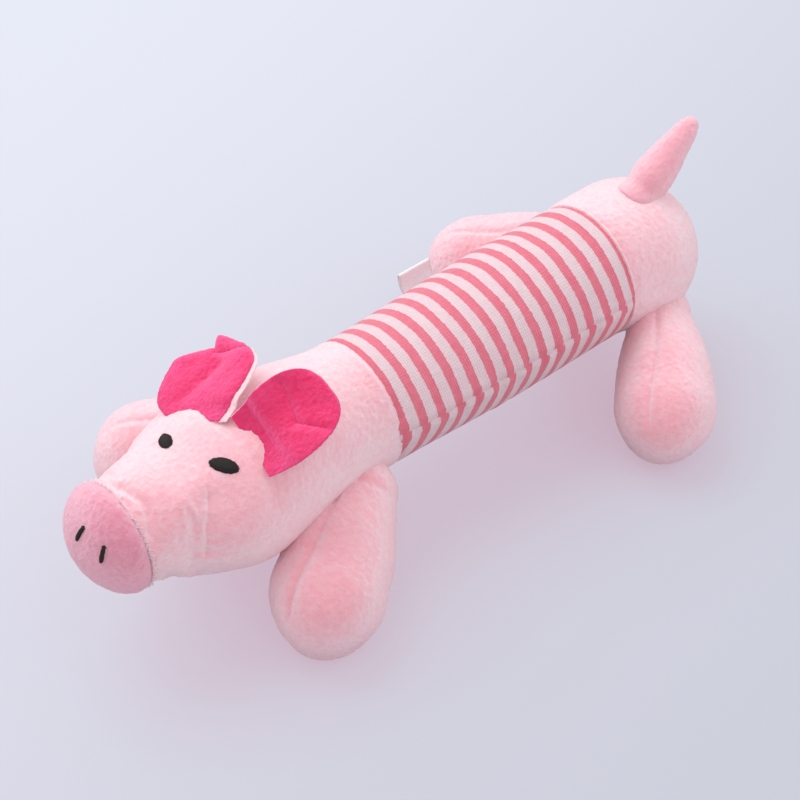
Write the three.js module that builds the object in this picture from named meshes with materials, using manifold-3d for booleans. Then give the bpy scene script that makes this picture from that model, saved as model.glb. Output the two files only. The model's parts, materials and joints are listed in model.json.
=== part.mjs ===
// Squeaky plush pig for a dog: a stuffed tube of striped jersey between a plush head and a plush
// rump, with four splayed stuffed legs, two-layer ears, a stuffed tail and a squeaker in the belly.
// Millimetres, +X towards the nose, +Y towards the pig's left side, +Z up, standing on Z = 0.
import * as THREE from "three";
import { mergeVertices } from "three/addons/utils/BufferGeometryUtils.js";
import Module from "manifold-3d";

const wasm = await Module();
wasm.setup();

// Fabric and fits
const PLUSH_THICKNESS = 2;
const JERSEY_THICKNESS = 1.4;
const SEAM_GAP = 0.3; // between two pieces that touch
const SEAM_PINCH = 0.9; // how far a cover is drawn in at its seam
const SEAM_ROUND = 2.5; // the length over which it is drawn in
const SOLE_CUT = 0.5; // the depth of the flat that each foot stands on

// Striped body, from its rear seam to its front seam
const AXIS_HEIGHT = 42;
const SLEEVE_LENGTH = 97;
const SLEEVE_REAR_RADIUS = 24.3;
const SLEEVE_MIDDLE_RADIUS = 23.7;
const SLEEVE_FRONT_RADIUS = 22.6;

// Rump: its fullest section lies behind the striped body and hangs a little low
const RUMP_DISTANCE = 17;
const RUMP_RADIUS = 25.5;
const RUMP_DROP = 2;
const RUMP_DEPTH = 25;

// Head sections: distance ahead of the striped body, half width, half height, rise of the middle
const NECK = { ahead: 24, halfWidth: 25.8, halfHeight: 24.8, rise: 1.2 };
const EAR_SEAM = { ahead: 51, halfWidth: 30.6, halfHeight: 23.9, rise: 0.7 };
const BROW = { ahead: 65, halfWidth: 29, halfHeight: 20, rise: 1.4 };
const MUZZLE = { ahead: 79, halfWidth: 22.8, halfHeight: 18, rise: 3.6 };
const NOSE_SEAM = { ahead: 91, halfWidth: 17.4, halfHeight: 16.8, rise: 4.6 };
const NOSE_DEPTH = 13.5;

// Embroidery: a satin-stitched oval for each eye and a short bar for each nostril
const EYES = [ // ahead of the striped body, and up from the side round the head
  { name: "left", side: 1, ahead: 59, angle: 64 },
  { name: "right", side: -1, ahead: 66, angle: 72 },
];
const EYE_LENGTH = 9.2;
const EYE_WIDTH = 4.6;
const EYE_TILT = -39;
const NOSTRIL_SPACING = 11.4;
const NOSTRIL_RISE = 5.5; // above the middle of the nose
const NOSTRIL_SHIFT = 1.5; // the pair was sewn a little to the left
const NOSTRIL_LENGTH = 5.8;
const NOSTRIL_WIDTH = 1.3;
const THREAD_THICKNESS = 0.8;

// Ears: a hot pink face sewn to a plush back, standing on the ear seam and leaning back
const EARS = [ // up from the side round the head, and back from standing straight out
  { name: "left", side: 1, ahead: 50, angle: 65, lean: 63 },
  { name: "right", side: -1, ahead: 53, angle: 65, lean: 70 },
];
const EAR_LENGTH = 28;
const EAR_BASE = 19;
const EAR_WIDTH = 27;
const EAR_WIDEST = 14; // from the base
const EAR_CUP = 4;
const EAR_FACE_THICKNESS = 1.3;
const EAR_BACK_THICKNESS = 1.7;
const EAR_ROOT_DEPTH = 4.75; // how far the base runs on inside the body
const EAR_SWING_FORWARD = 36;
const EAR_SWING_BACK = 6;

// Legs: pins that swell towards a round foot
const LEG_ROOT_RADIUS = 12.6;
const LEG_ROOT_DEPTH = 12; // how far the pin's rounded end runs on inside the body before it is cut
const FRONT_FOOT_RADIUS = 19.2;
const HIND_FOOT_RADIUS = 17.2;
const FRONT_ROOT_AHEAD = 17; // from the front seam of the striped body
const HIND_ROOT_BEHIND = 16; // from its rear seam
const LEG_ROOT_ANGLE = -33; // below the side, round the body
const FOOT_START = -20; // where the shank runs into the round of the foot
const FRONT_LEFT_REACH = 26; // forwards from the root to the middle of the foot
const FRONT_RIGHT_REACH = 33;
const HIND_REACH = 25;
const FRONT_LEFT_SPREAD = 40; // from the middle of the pig to the middle of the foot
const FRONT_RIGHT_SPREAD = 44;
const HIND_LEFT_SPREAD = 48.5;
const HIND_RIGHT_SPREAD = 48.5;
const LEG_NECK_RADIUS = 5; // the opening that is left where the root is gathered
const LEG_NECK_LENGTH = 7;
const LEG_SWING_FORWARD = 3;
const LEG_SWING_BACK = 24;

// Tail: a stuffed cone that leans back
const TAIL_BEHIND = 25; // from the rear seam of the striped body
const TAIL_LENGTH = 28;
const TAIL_LEAN = 49;
const TAIL_ROOT_RADIUS = 7.2;
const TAIL_TIP_RADIUS = 3.8;
const TAIL_ROOT_DEPTH = 8;
const TAIL_SWING = 25;

// Side tab: a folded ribbon caught in the right-hand side seam
const TAB_AHEAD = 2; // from the middle of the striped body
const TAB_WIDTH = 13;
const TAB_BEND = 8;
const TAB_THICKNESS = 1;

// Squeaker: a pleated bulb with a whistle in its base
const SQUEAKER_RADIUS = 14;
const PRESS_RADIUS = 15.5; // of the patch of the back that a squeeze presses down
const BASE_HEIGHT = 2.6;
const BELLOWS_HEIGHT = 17;
const BELLOWS_PLEATS = 4;
const PLEAT_DEPTH = 2.4;
const BULB_WALL = 0.9;
const CROWN_HEIGHT = 4;
const WHISTLE_RADIUS = 4;
const WHISTLE_LENGTH = 9;
const WHISTLE_BORE = 2.2;
const FLANGE_RADIUS = 6;
const FLANGE_HEIGHT = 1.2;
const REED_LENGTH = 6;
const REED_THICKNESS = 0.3;

// Facets
const BODY_SIDES = 20;
const LEG_SIDES = 16;
const LINING_SIDES = 10;
const ROUND_SIDES = 16;

const degrees = THREE.MathUtils.degToRad;
const vector = (x, y, z) => new THREE.Vector3(x, y, z);

function solid(geometry) {
  const bare = geometry.clone();
  bare.deleteAttribute("normal");
  bare.deleteAttribute("uv");
  const merged = mergeVertices(bare, 1e-4);
  const corners = [];
  const index = merged.index.array;
  for (let i = 0; i < index.length; i += 3) {
    const [a, b, c] = [index[i], index[i + 1], index[i + 2]];
    if (a !== b && b !== c && c !== a) corners.push(a, b, c);
  }
  return new wasm.Manifold(new wasm.Mesh({
    numProp: 3,
    vertProperties: new Float32Array(merged.attributes.position.array),
    triVerts: new Uint32Array(corners),
  }));
}

function geometryOf(body) {
  const mesh = body.getMesh();
  const geometry = new THREE.BufferGeometry();
  geometry.setAttribute("position", new THREE.BufferAttribute(mesh.vertProperties, 3));
  geometry.setIndex(new THREE.BufferAttribute(mesh.triVerts, 1));
  geometry.computeVertexNormals();
  return geometry;
}

// A closed skin over rings of equal counts; with no end points the last ring meets the first
function skin(rings, startPoint, endPoint) {
  const sides = rings[0].length;
  const points = rings.flat();
  const corners = [];
  const bands = startPoint ? rings.length - 1 : rings.length;
  for (let i = 0; i < bands; i++) {
    const near = i * sides;
    const far = ((i + 1) % rings.length) * sides;
    for (let j = 0; j < sides; j++) {
      const k = (j + 1) % sides;
      corners.push(near + j, near + k, far + k, near + j, far + k, far + j);
    }
  }
  if (startPoint) {
    const first = points.push(startPoint) - 1;
    const last = points.push(endPoint) - 1;
    const end = (rings.length - 1) * sides;
    for (let j = 0; j < sides; j++) {
      const k = (j + 1) % sides;
      corners.push(first, k, j, last, end + j, end + k);
    }
  }
  const geometry = new THREE.BufferGeometry().setFromPoints(points);
  geometry.setIndex(corners);
  return geometry;
}

// A turned piece whose axis runs from a point in a direction
function turned(profile, sides, from, direction) {
  const geometry = new THREE.LatheGeometry(profile, sides);
  const turn = new THREE.Quaternion().setFromUnitVectors(vector(0, 1, 0), direction);
  geometry.applyQuaternion(turn);
  geometry.translate(from.x, from.y, from.z);
  return geometry;
}

function block(low, high) {
  const size = high.clone().sub(low);
  const geometry = new THREE.BoxGeometry(size.x, size.y, size.z);
  const middle = low.clone().add(high).multiplyScalar(0.5);
  geometry.translate(middle.x, middle.y, middle.z);
  return solid(geometry);
}

// A body turned about an axis through a point
function turnedAbout(body, point, axis, angle) {
  const geometry = geometryOf(body);
  geometry.translate(-point.x, -point.y, -point.z);
  geometry.applyQuaternion(new THREE.Quaternion().setFromAxisAngle(axis, angle));
  geometry.translate(point.x, point.y, point.z);
  return solid(geometry);
}

// Outline of the stuffed body from the rump to the nose, as sections along X
const REAR_SEAM_X = -SLEEVE_LENGTH / 2;
const FRONT_SEAM_X = SLEEVE_LENGTH / 2;
const headSection = ({ ahead, halfWidth, halfHeight, rise }) => ({
  x: FRONT_SEAM_X + ahead, halfWidth, halfHeight, z: AXIS_HEIGHT + rise,
});
const roundSection = (x, radius, z) => ({ x, halfWidth: radius, halfHeight: radius, z });
const sections = [
  roundSection(REAR_SEAM_X - RUMP_DISTANCE, RUMP_RADIUS, AXIS_HEIGHT - RUMP_DROP),
  roundSection(REAR_SEAM_X, SLEEVE_REAR_RADIUS, AXIS_HEIGHT),
  roundSection(0, SLEEVE_MIDDLE_RADIUS, AXIS_HEIGHT),
  roundSection(FRONT_SEAM_X, SLEEVE_FRONT_RADIUS, AXIS_HEIGHT),
  headSection(NECK),
  headSection(EAR_SEAM),
  headSection(BROW),
  headSection(MUZZLE),
  headSection(NOSE_SEAM),
];
const [RUMP_AT, REAR_AT, , FRONT_AT, , EARS_AT, , , NOSE_AT] = sections.keys();
const sizeCurve = new THREE.CatmullRomCurve3(
  sections.map((s) => vector(s.x, s.halfWidth, s.halfHeight)), false, "catmullrom");
const riseCurve = new THREE.CatmullRomCurve3(
  sections.map((s) => vector(s.x, s.z, 0)), false, "catmullrom");

function sectionAt(at) {
  const share = at / (sections.length - 1);
  const { x, y: halfWidth, z: halfHeight } = sizeCurve.getPoint(share);
  return { x, halfWidth, halfHeight, z: riseCurve.getPoint(share).y };
}

function ring({ x, halfWidth, halfHeight, z }, grow) {
  return Array.from({ length: BODY_SIDES }, (_, j) => {
    const angle = (2 * Math.PI * j) / BODY_SIDES;
    return vector(x, (halfWidth + grow) * Math.cos(angle), z + (halfHeight + grow) * Math.sin(angle));
  });
}

// Place along the sections that lies at a given X
function placeAt(x) {
  let [low, high] = [RUMP_AT, NOSE_AT];
  while (high - low > 1e-6) {
    const middle = (low + high) / 2;
    if (sectionAt(middle).x < x) low = middle;
    else high = middle;
  }
  return low;
}

function pointOnBody(at, angle) {
  const { x, halfWidth, halfHeight, z } = sectionAt(at);
  return vector(x, halfWidth * Math.cos(angle), z + halfHeight * Math.sin(angle));
}

// Outward normal of the body and the tangent round it, in the direction of growing angle
function bodyFrame(at, angle) {
  const step = 0.01;
  const round = pointOnBody(at, angle + step).sub(pointOnBody(at, angle - step)).normalize();
  const along = pointOnBody(at + step, angle).sub(pointOnBody(at - step, angle)).normalize();
  const normal = round.clone().cross(along).normalize();
  return { point: pointOnBody(at, angle), round, normal };
}

// Rings between two sections, drawn in at the ends that are seams
function coverRings(from, to, steps, grow) {
  const [start, end] = [sectionAt(from), sectionAt(to)];
  const roundShare = (SEAM_ROUND / (end.x - start.x)) * (to - from);
  const places = [from + roundShare];
  for (let i = 1; i < steps; i++) places.push(from + ((to - from) * i) / steps);
  places.push(to - roundShare);
  const pinched = grow - SEAM_PINCH;
  return [
    ring({ ...start, x: start.x + SEAM_GAP / 2 }, pinched),
    ...places.map((at) => ring(sectionAt(at), grow)),
    ring({ ...end, x: end.x - SEAM_GAP / 2 }, pinched),
  ];
}

// Rings of the rounded end beyond a section; steps run from the section towards the end
function endRings(at, depth, steps, grow) {
  const base = sectionAt(at);
  return Array.from({ length: steps }, (_, i) => {
    const angle = (Math.PI / 2) * (i / steps);
    const shrink = Math.cos(angle);
    return ring({
      x: base.x + (depth + Math.sign(depth) * grow) * Math.sin(angle),
      halfWidth: (base.halfWidth + grow) * shrink,
      halfHeight: (base.halfHeight + grow) * shrink,
      z: base.z,
    }, 0);
  });
}

function endPoint(at, depth, grow) {
  const base = sectionAt(at);
  return vector(base.x + depth + Math.sign(depth) * grow, 0, base.z);
}

// The whole body from rump to nose as one solid, grown outwards
function wholeBody(grow) {
  const steps = 3 * (NOSE_AT - RUMP_AT);
  const rings = [...endRings(RUMP_AT, -RUMP_DEPTH, 6, grow).reverse()];
  for (let i = 1; i < steps; i++) {
    rings.push(ring(sectionAt(RUMP_AT + ((NOSE_AT - RUMP_AT) * i) / steps), grow));
  }
  rings.push(...endRings(NOSE_AT, NOSE_DEPTH, 4, grow));
  return solid(skin(rings, endPoint(RUMP_AT, -RUMP_DEPTH, grow), endPoint(NOSE_AT, NOSE_DEPTH, grow)));
}
const clearBody = wholeBody(SEAM_GAP);

// Materials
const finish = (color, roughness) => new THREE.MeshStandardMaterial({ color, roughness, metalness: 0 });
const fabric = (color, roughness = 0.95) => finish(color, roughness);
const PALE_PINK = fabric(0xf3cbd6);
const NOSE_PINK = fabric(0xf2aec2);
const HOT_PINK = fabric(0xee4a86);
const STRIPED_JERSEY = fabric(0xe79fb1, 0.9);
const BLACK_THREAD = fabric(0x2a2221, 0.6);
const WHITE_RIBBON = fabric(0xf4f4f6, 0.7);
const FIBREFILL = fabric(0xfbfbf8, 1);
const SOFT_POLYETHYLENE = finish(0xf2f0ea, 0.45);
const WHISTLE_PLASTIC = finish(0xd8dde2, 0.4);
const REED_FILM = finish(0xc9b27a, 0.35);

const pig = new THREE.Group();
function addPiece(name, shape, material) {
  const geometry = shape instanceof THREE.BufferGeometry ? shape : geometryOf(shape);
  const mesh = new THREE.Mesh(geometry, material);
  mesh.name = name;
  pig.add(mesh);
}

// Rump cover, a cup that is open at the rear seam
function rumpRings(grow) {
  return [
    ...endRings(RUMP_AT, -RUMP_DEPTH, 6, grow).reverse(),
    ...coverRings(RUMP_AT, REAR_AT, 3, grow).slice(2),
  ];
}
const rumpOuter = rumpRings(0);
const rumpInner = rumpRings(-PLUSH_THICKNESS).reverse();
addPiece("rump_cover", skin([...rumpOuter, ...rumpInner],
  endPoint(RUMP_AT, -RUMP_DEPTH, 0), endPoint(RUMP_AT, -RUMP_DEPTH, -PLUSH_THICKNESS)), PALE_PINK);

// Striped body, a tube of jersey in a back panel and a belly panel
const sleeve = solid(skin([
  ...coverRings(REAR_AT, FRONT_AT, 8, 0),
  ...coverRings(REAR_AT, FRONT_AT, 4, -JERSEY_THICKNESS).reverse(),
]));
const seamReach = SLEEVE_LENGTH + 2 * SLEEVE_REAR_RADIUS;
const backPanel = sleeve.intersect(block(
  vector(-seamReach, -seamReach, AXIS_HEIGHT + SEAM_GAP / 2), vector(seamReach, seamReach, seamReach)));
const bellyPanel = sleeve.intersect(block(
  vector(-seamReach, -seamReach, -seamReach), vector(seamReach, seamReach, AXIS_HEIGHT - SEAM_GAP / 2)));
const UP = vector(0, 0, 1);
const pressWell = (radius, bottom) => solid(turned([
  new THREE.Vector2(0, 0),
  new THREE.Vector2(radius, 0),
  new THREE.Vector2(radius, seamReach),
  new THREE.Vector2(0, seamReach),
], ROUND_SIDES, vector(0, 0, bottom), UP));
const wellRadius = PRESS_RADIUS + SEAM_GAP / Math.cos(Math.PI / ROUND_SIDES);
addPiece("back_panel", backPanel.subtract(pressWell(wellRadius, 0)), STRIPED_JERSEY);
addPiece("belly_panel", bellyPanel, STRIPED_JERSEY);
addPiece("back_patch", backPanel.intersect(pressWell(PRESS_RADIUS, AXIS_HEIGHT)), STRIPED_JERSEY);

// Neck and face covers, two plush tubes that meet at the ear seam
addPiece("neck_cover", skin([
  ...coverRings(FRONT_AT, EARS_AT, 6, 0),
  ...coverRings(FRONT_AT, EARS_AT, 4, -PLUSH_THICKNESS).reverse(),
]), PALE_PINK);
addPiece("face_cover", skin([
  ...coverRings(EARS_AT, NOSE_AT, 9, 0),
  ...coverRings(EARS_AT, NOSE_AT, 6, -PLUSH_THICKNESS).reverse(),
]), PALE_PINK);

// Nose panel, a shallow dome whose rim is drawn in at the nose seam
function noseRings(grow) {
  const seam = sectionAt(NOSE_AT);
  return [
    ring({ ...seam, x: seam.x + SEAM_GAP / 2 }, grow - SEAM_PINCH),
    ring({ ...seam, x: seam.x + SEAM_ROUND / 2 }, grow),
    ...endRings(NOSE_AT, NOSE_DEPTH, 5, grow).slice(1),
  ];
}
addPiece("nose_panel", skin([...noseRings(-PLUSH_THICKNESS).reverse(), ...noseRings(0)],
  endPoint(NOSE_AT, NOSE_DEPTH, -PLUSH_THICKNESS), endPoint(NOSE_AT, NOSE_DEPTH, 0)), NOSE_PINK);

// Embroidery, cut from a thin layer that follows the plush
const threadLayer = wholeBody(SEAM_GAP + THREAD_THICKNESS);
function embroidered(outline, place) {
  const depth = 2 * EYE_LENGTH;
  const punch = new THREE.ExtrudeGeometry(outline, { depth, bevelEnabled: false, curveSegments: 10 });
  punch.translate(0, 0, -depth / 2);
  punch.applyMatrix4(place);
  return solid(punch).intersect(threadLayer).subtract(clearBody);
}
const eyeOutline = new THREE.Shape().absellipse(0, 0, EYE_LENGTH / 2, EYE_WIDTH / 2, 0, 2 * Math.PI);
const nostrilStraight = (NOSTRIL_LENGTH - NOSTRIL_WIDTH) / 2;
const nostrilOutline = new THREE.Shape()
  .absarc(0, nostrilStraight, NOSTRIL_WIDTH / 2, 0, Math.PI)
  .absarc(0, -nostrilStraight, NOSTRIL_WIDTH / 2, Math.PI, 2 * Math.PI);
for (const { name, side, ahead, angle } of EYES) {
  const round = side > 0 ? degrees(angle) : Math.PI - degrees(angle);
  const { point, normal } = bodyFrame(placeAt(FRONT_SEAM_X + ahead), round);
  const forward = vector(1, 0, 0).projectOnPlane(normal).normalize();
  const along = forward.applyAxisAngle(normal, side * degrees(EYE_TILT));
  const across = normal.clone().cross(along);
  const eyePlace = new THREE.Matrix4().makeBasis(along, across, normal).setPosition(point);
  addPiece(`eye_${name}`, embroidered(eyeOutline, eyePlace), BLACK_THREAD);

  const nose = endPoint(NOSE_AT, NOSE_DEPTH, 0);
  const nostrilPlace = new THREE.Matrix4()
    .makeBasis(vector(0, 1, 0), vector(0, 0, 1), vector(1, 0, 0))
    .setPosition(nose.x, NOSTRIL_SHIFT + (side * NOSTRIL_SPACING) / 2, nose.z + NOSTRIL_RISE);
  addPiece(`nostril_${name}`, embroidered(nostrilOutline, nostrilPlace), BLACK_THREAD);
}

// A plate between two offsets of a sheet of rows and columns of points
function plate(sheet, lower, upper, columns, rows) {
  const points = [];
  const index = (i, j, top) => (top * (rows + 1) + i) * (columns + 1) + j;
  for (const offset of [lower, upper]) {
    for (let i = 0; i <= rows; i++) {
      for (let j = 0; j <= columns; j++) points.push(sheet(i / rows, (2 * j) / columns - 1, offset));
    }
  }
  const corners = [];
  const quad = (a, b, c, d) => corners.push(a, b, c, a, c, d);
  for (let i = 0; i < rows; i++) {
    for (let j = 0; j < columns; j++) {
      quad(index(i, j, 1), index(i, j + 1, 1), index(i + 1, j + 1, 1), index(i + 1, j, 1));
      quad(index(i, j, 0), index(i + 1, j, 0), index(i + 1, j + 1, 0), index(i, j + 1, 0));
    }
    quad(index(i, 0, 0), index(i, 0, 1), index(i + 1, 0, 1), index(i + 1, 0, 0));
    quad(index(i, columns, 0), index(i + 1, columns, 0), index(i + 1, columns, 1), index(i, columns, 1));
  }
  for (let j = 0; j < columns; j++) {
    quad(index(0, j, 0), index(0, j + 1, 0), index(0, j + 1, 1), index(0, j, 1));
    quad(index(rows, j, 0), index(rows, j, 1), index(rows, j + 1, 1), index(rows, j + 1, 0));
  }
  const geometry = new THREE.BufferGeometry().setFromPoints(points);
  geometry.setIndex(corners);
  return geometry;
}

// Ears: a leaf that is cupped forwards, widest a third of the way up, with a round tip
function earSheet({ side, ahead, angle, lean }) {
  const place = placeAt(FRONT_SEAM_X + ahead);
  const { point, normal, round } = bodyFrame(place, side > 0 ? degrees(angle) : Math.PI - degrees(angle));
  const back = vector(-1, 0, 0).projectOnPlane(normal).normalize();
  const up = normal.clone().multiplyScalar(Math.cos(degrees(lean)))
    .addScaledVector(back, Math.sin(degrees(lean)));
  const facing = normal.clone().multiplyScalar(Math.sin(degrees(lean)))
    .addScaledVector(back, -Math.cos(degrees(lean)));
  const across = up.clone().cross(facing).normalize();
  const hinge = point.clone().addScaledVector(normal, SEAM_GAP);
  const sheet = (share, sideways, offset) => {
    const turn = share * (Math.PI / 2);
    const reach = EAR_LENGTH - EAR_WIDEST;
    const height = -EAR_ROOT_DEPTH + (EAR_WIDEST + EAR_ROOT_DEPTH) * Math.min(1, 2 * share)
      + reach * Math.sin(Math.max(0, 2 * turn - Math.PI / 2));
    const low = Math.max(0, 1 - height / EAR_WIDEST);
    const halfWidth = height < EAR_WIDEST
      ? EAR_WIDTH / 2 - ((EAR_WIDTH - EAR_BASE) / 2) * low ** 2
      : (EAR_WIDTH / 2) * Math.cos(2 * turn - Math.PI / 2);
    const lift = EAR_CUP * (sideways * halfWidth / (EAR_WIDTH / 2)) ** 2;
    return hinge.clone()
      .addScaledVector(up, height)
      .addScaledVector(across, sideways * halfWidth)
      .addScaledVector(facing, lift + offset);
  };
  return { sheet, hinge, axis: round };
}
for (const ear of EARS) {
  const { sheet, hinge, axis } = earSheet(ear);
  const swept = [EAR_SWING_FORWARD, EAR_SWING_FORWARD / 2, 0, -EAR_SWING_BACK].map(
    (swing) => turnedAbout(clearBody, hinge, axis, degrees(swing)));
  const layer = (lower, upper) => swept.reduce(
    (body, cut) => body.subtract(cut), solid(plate(sheet, lower, upper, 6, 10)));
  addPiece(`ear_face_${ear.name}`, layer(SEAM_GAP / 2, SEAM_GAP / 2 + EAR_FACE_THICKNESS), HOT_PINK);
  addPiece(`ear_back_${ear.name}`, layer(-SEAM_GAP / 2 - EAR_BACK_THICKNESS, -SEAM_GAP / 2), PALE_PINK);
}

// Legs: a pin outline from inside the body to the end of the foot
function legOutline(length, root, foot, bandSteps, footSteps) {
  const footStart = degrees(FOOT_START);
  const footPoint = (a) => new THREE.Vector2(foot * Math.cos(a), length + foot * Math.sin(a));
  const footTangent = new THREE.Vector2(Math.sin(footStart), -Math.cos(footStart));
  const shank = new THREE.CubicBezierCurve(
    new THREE.Vector2(root, 0),
    new THREE.Vector2(root, length / 3),
    footPoint(footStart).addScaledVector(footTangent, length / 4),
    footPoint(footStart));
  const outline = shank.getPoints(bandSteps);
  for (let i = 1; i < footSteps; i++) {
    outline.push(footPoint(footStart + ((Math.PI / 2 - footStart) * i) / footSteps));
  }
  return [...outline, new THREE.Vector2(0, length + foot)];
}
function legProfile(length, footRadius, bandSteps, footSteps) {
  const rootEnd = new THREE.EllipseCurve(0, 0, LEG_ROOT_RADIUS, LEG_ROOT_DEPTH, -Math.PI / 2, 0);
  return [
    new THREE.Vector2(0, -LEG_ROOT_DEPTH),
    ...rootEnd.getPoints(4).slice(1, -1),
    ...legOutline(length, LEG_ROOT_RADIUS, footRadius, bandSteps, footSteps),
  ];
}
// Its inside, which narrows to a gathered neck at the root
function legLining(length, footRadius, inset) {
  const neck = LEG_NECK_RADIUS + PLUSH_THICKNESS - inset;
  const inside = legOutline(length, LEG_ROOT_RADIUS - inset, footRadius - inset, 6, 5);
  return [
    new THREE.Vector2(0, -LEG_ROOT_DEPTH),
    new THREE.Vector2(neck, -LEG_ROOT_DEPTH),
    new THREE.Vector2(neck, LEG_NECK_LENGTH - PLUSH_THICKNESS + inset),
    ...inside.filter(({ y }) => y > 2 * LEG_NECK_LENGTH),
  ];
}
const groundReach = 2 * seamReach;
const ground = block(vector(-groundReach, -groundReach, -seamReach), vector(groundReach, groundReach, 0));
const FRONT_LEG = { rootX: FRONT_SEAM_X + FRONT_ROOT_AHEAD, footRadius: FRONT_FOOT_RADIUS };
const HIND_LEG = {
  rootX: REAR_SEAM_X - HIND_ROOT_BEHIND, reach: HIND_REACH, footRadius: HIND_FOOT_RADIUS,
};
const legs = [
  { name: "front_left", side: 1, ...FRONT_LEG, reach: FRONT_LEFT_REACH, spread: FRONT_LEFT_SPREAD },
  { name: "front_right", side: -1, ...FRONT_LEG, reach: FRONT_RIGHT_REACH, spread: FRONT_RIGHT_SPREAD },
  { name: "hind_left", side: 1, ...HIND_LEG, spread: HIND_LEFT_SPREAD },
  { name: "hind_right", side: -1, ...HIND_LEG, spread: HIND_RIGHT_SPREAD },
];
for (const { name, side, rootX, reach, spread, footRadius } of legs) {
  const angle = side > 0 ? degrees(LEG_ROOT_ANGLE) : Math.PI - degrees(LEG_ROOT_ANGLE);
  const root = pointOnBody(placeAt(rootX), angle);
  const foot = vector(root.x + reach, side * spread, footRadius - SOLE_CUT);
  const length = root.distanceTo(foot);
  const direction = foot.clone().sub(root).normalize();
  const pin = (profile, sides) => solid(turned(profile, sides, root, direction));
  const swept = [LEG_SWING_FORWARD, 0, -LEG_SWING_BACK / 2, -LEG_SWING_BACK].map(
    (swing) => turnedAbout(clearBody, root, UP, side * degrees(swing)));
  const cut = (body) => swept.reduce((rest, part) => rest.subtract(part), body);
  const outside = pin(legProfile(length, footRadius, 6, 8), LEG_SIDES);
  const lining = pin(legLining(length, footRadius, PLUSH_THICKNESS), LINING_SIDES);
  addPiece(`leg_cover_${name}`, cut(outside.subtract(lining)).subtract(ground), PALE_PINK);
  const filling = pin(legLining(length, footRadius, PLUSH_THICKNESS + SEAM_GAP), LINING_SIDES);
  addPiece(`leg_stuffing_${name}`, cut(filling), FIBREFILL);
}

// Tail: a cone with a round tip, its root cut to the rump
const tailRootX = REAR_SEAM_X - TAIL_BEHIND;
const rumpSection = sections[RUMP_AT];
const tailShare = (rumpSection.x - tailRootX) / RUMP_DEPTH;
const tailRoot = vector(tailRootX, 0, rumpSection.z + RUMP_RADIUS * Math.sqrt(1 - tailShare ** 2));
const tailDirection = vector(-Math.sin(degrees(TAIL_LEAN)), 0, Math.cos(degrees(TAIL_LEAN)));
const tailAxis = vector(tailDirection.z, 0, -tailDirection.x);
function tailProfile(shrink, steps) {
  const tip = TAIL_TIP_RADIUS - shrink;
  const tipMiddle = TAIL_LENGTH - TAIL_TIP_RADIUS;
  const profile = [
    new THREE.Vector2(0, -TAIL_ROOT_DEPTH),
    new THREE.Vector2(TAIL_ROOT_RADIUS - shrink, -TAIL_ROOT_DEPTH),
    new THREE.Vector2(TAIL_ROOT_RADIUS - shrink, 0),
    new THREE.Vector2((TAIL_ROOT_RADIUS + TAIL_TIP_RADIUS) / 2 + SEAM_PINCH / 2 - shrink, tipMiddle / 2),
  ];
  for (let i = 0; i < steps; i++) {
    const angle = (Math.PI / 2) * (i / steps);
    profile.push(new THREE.Vector2(tip * Math.cos(angle), tipMiddle + tip * Math.sin(angle)));
  }
  profile.push(new THREE.Vector2(0, tipMiddle + tip));
  return profile;
}
const tailSwept = [-1, 0, 1].map(
  (way) => turnedAbout(clearBody, tailRoot, tailAxis, way * degrees(TAIL_SWING)));
const cutTail = (body) => tailSwept.reduce((rest, part) => rest.subtract(part), body);
const tailCone = (shrink, sides, steps) =>
  solid(turned(tailProfile(shrink, steps), sides, tailRoot, tailDirection));
const tailLining = tailCone(PLUSH_THICKNESS, LINING_SIDES, 2);
addPiece("tail_cover", cutTail(tailCone(0, LEG_SIDES, 4).subtract(tailLining)), PALE_PINK);
addPiece("tail_stuffing", cutTail(tailCone(PLUSH_THICKNESS + SEAM_GAP, LINING_SIDES, 2)), FIBREFILL);

// Side tab: a flat folded ribbon that leaves the right-hand side seam and bends upwards
const tabOuter = TAB_BEND + TAB_THICKNESS / 2;
const tabInner = TAB_BEND - TAB_THICKNESS / 2;
const tabOutline = new THREE.Shape()
  .absarc(0, 0, tabOuter, -Math.PI / 2, 0, false)
  .absarc(0, 0, tabInner, 0, -Math.PI / 2, true);
const tabGeometry = new THREE.ExtrudeGeometry(
  tabOutline, { depth: TAB_WIDTH, bevelEnabled: false, curveSegments: 8 });
tabGeometry.applyMatrix4(new THREE.Matrix4().makeBasis(vector(0, -1, 0), vector(0, 0, 1), vector(-1, 0, 0)));
tabGeometry.translate(TAB_AHEAD + TAB_WIDTH / 2, -SLEEVE_FRONT_RADIUS, AXIS_HEIGHT + TAB_BEND);
addPiece("side_tab", solid(tabGeometry).subtract(clearBody), WHITE_RIBBON);

// Squeaker, standing on the inside of the belly panel
const sleeveInside = SLEEVE_MIDDLE_RADIUS - JERSEY_THICKNESS;
const facetSag = sleeveInside * (1 - Math.cos(Math.PI / BODY_SIDES));
const seatRadius = sleeveInside - facetSag - SEAM_GAP;
const baseZ = AXIS_HEIGHT - Math.sqrt(seatRadius ** 2 - SQUEAKER_RADIUS ** 2);
const bellowsZ = baseZ + BASE_HEIGHT + SEAM_GAP;
const crownZ = bellowsZ + BELLOWS_HEIGHT + SEAM_GAP;
const crownTop = crownZ + CROWN_HEIGHT;
const closedProfile = (pairs) => [...pairs, pairs[0]].map(([r, z]) => new THREE.Vector2(r, z));
const standing = (pairs, z) => turned(closedProfile(pairs), ROUND_SIDES, vector(0, 0, z), UP);

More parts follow.
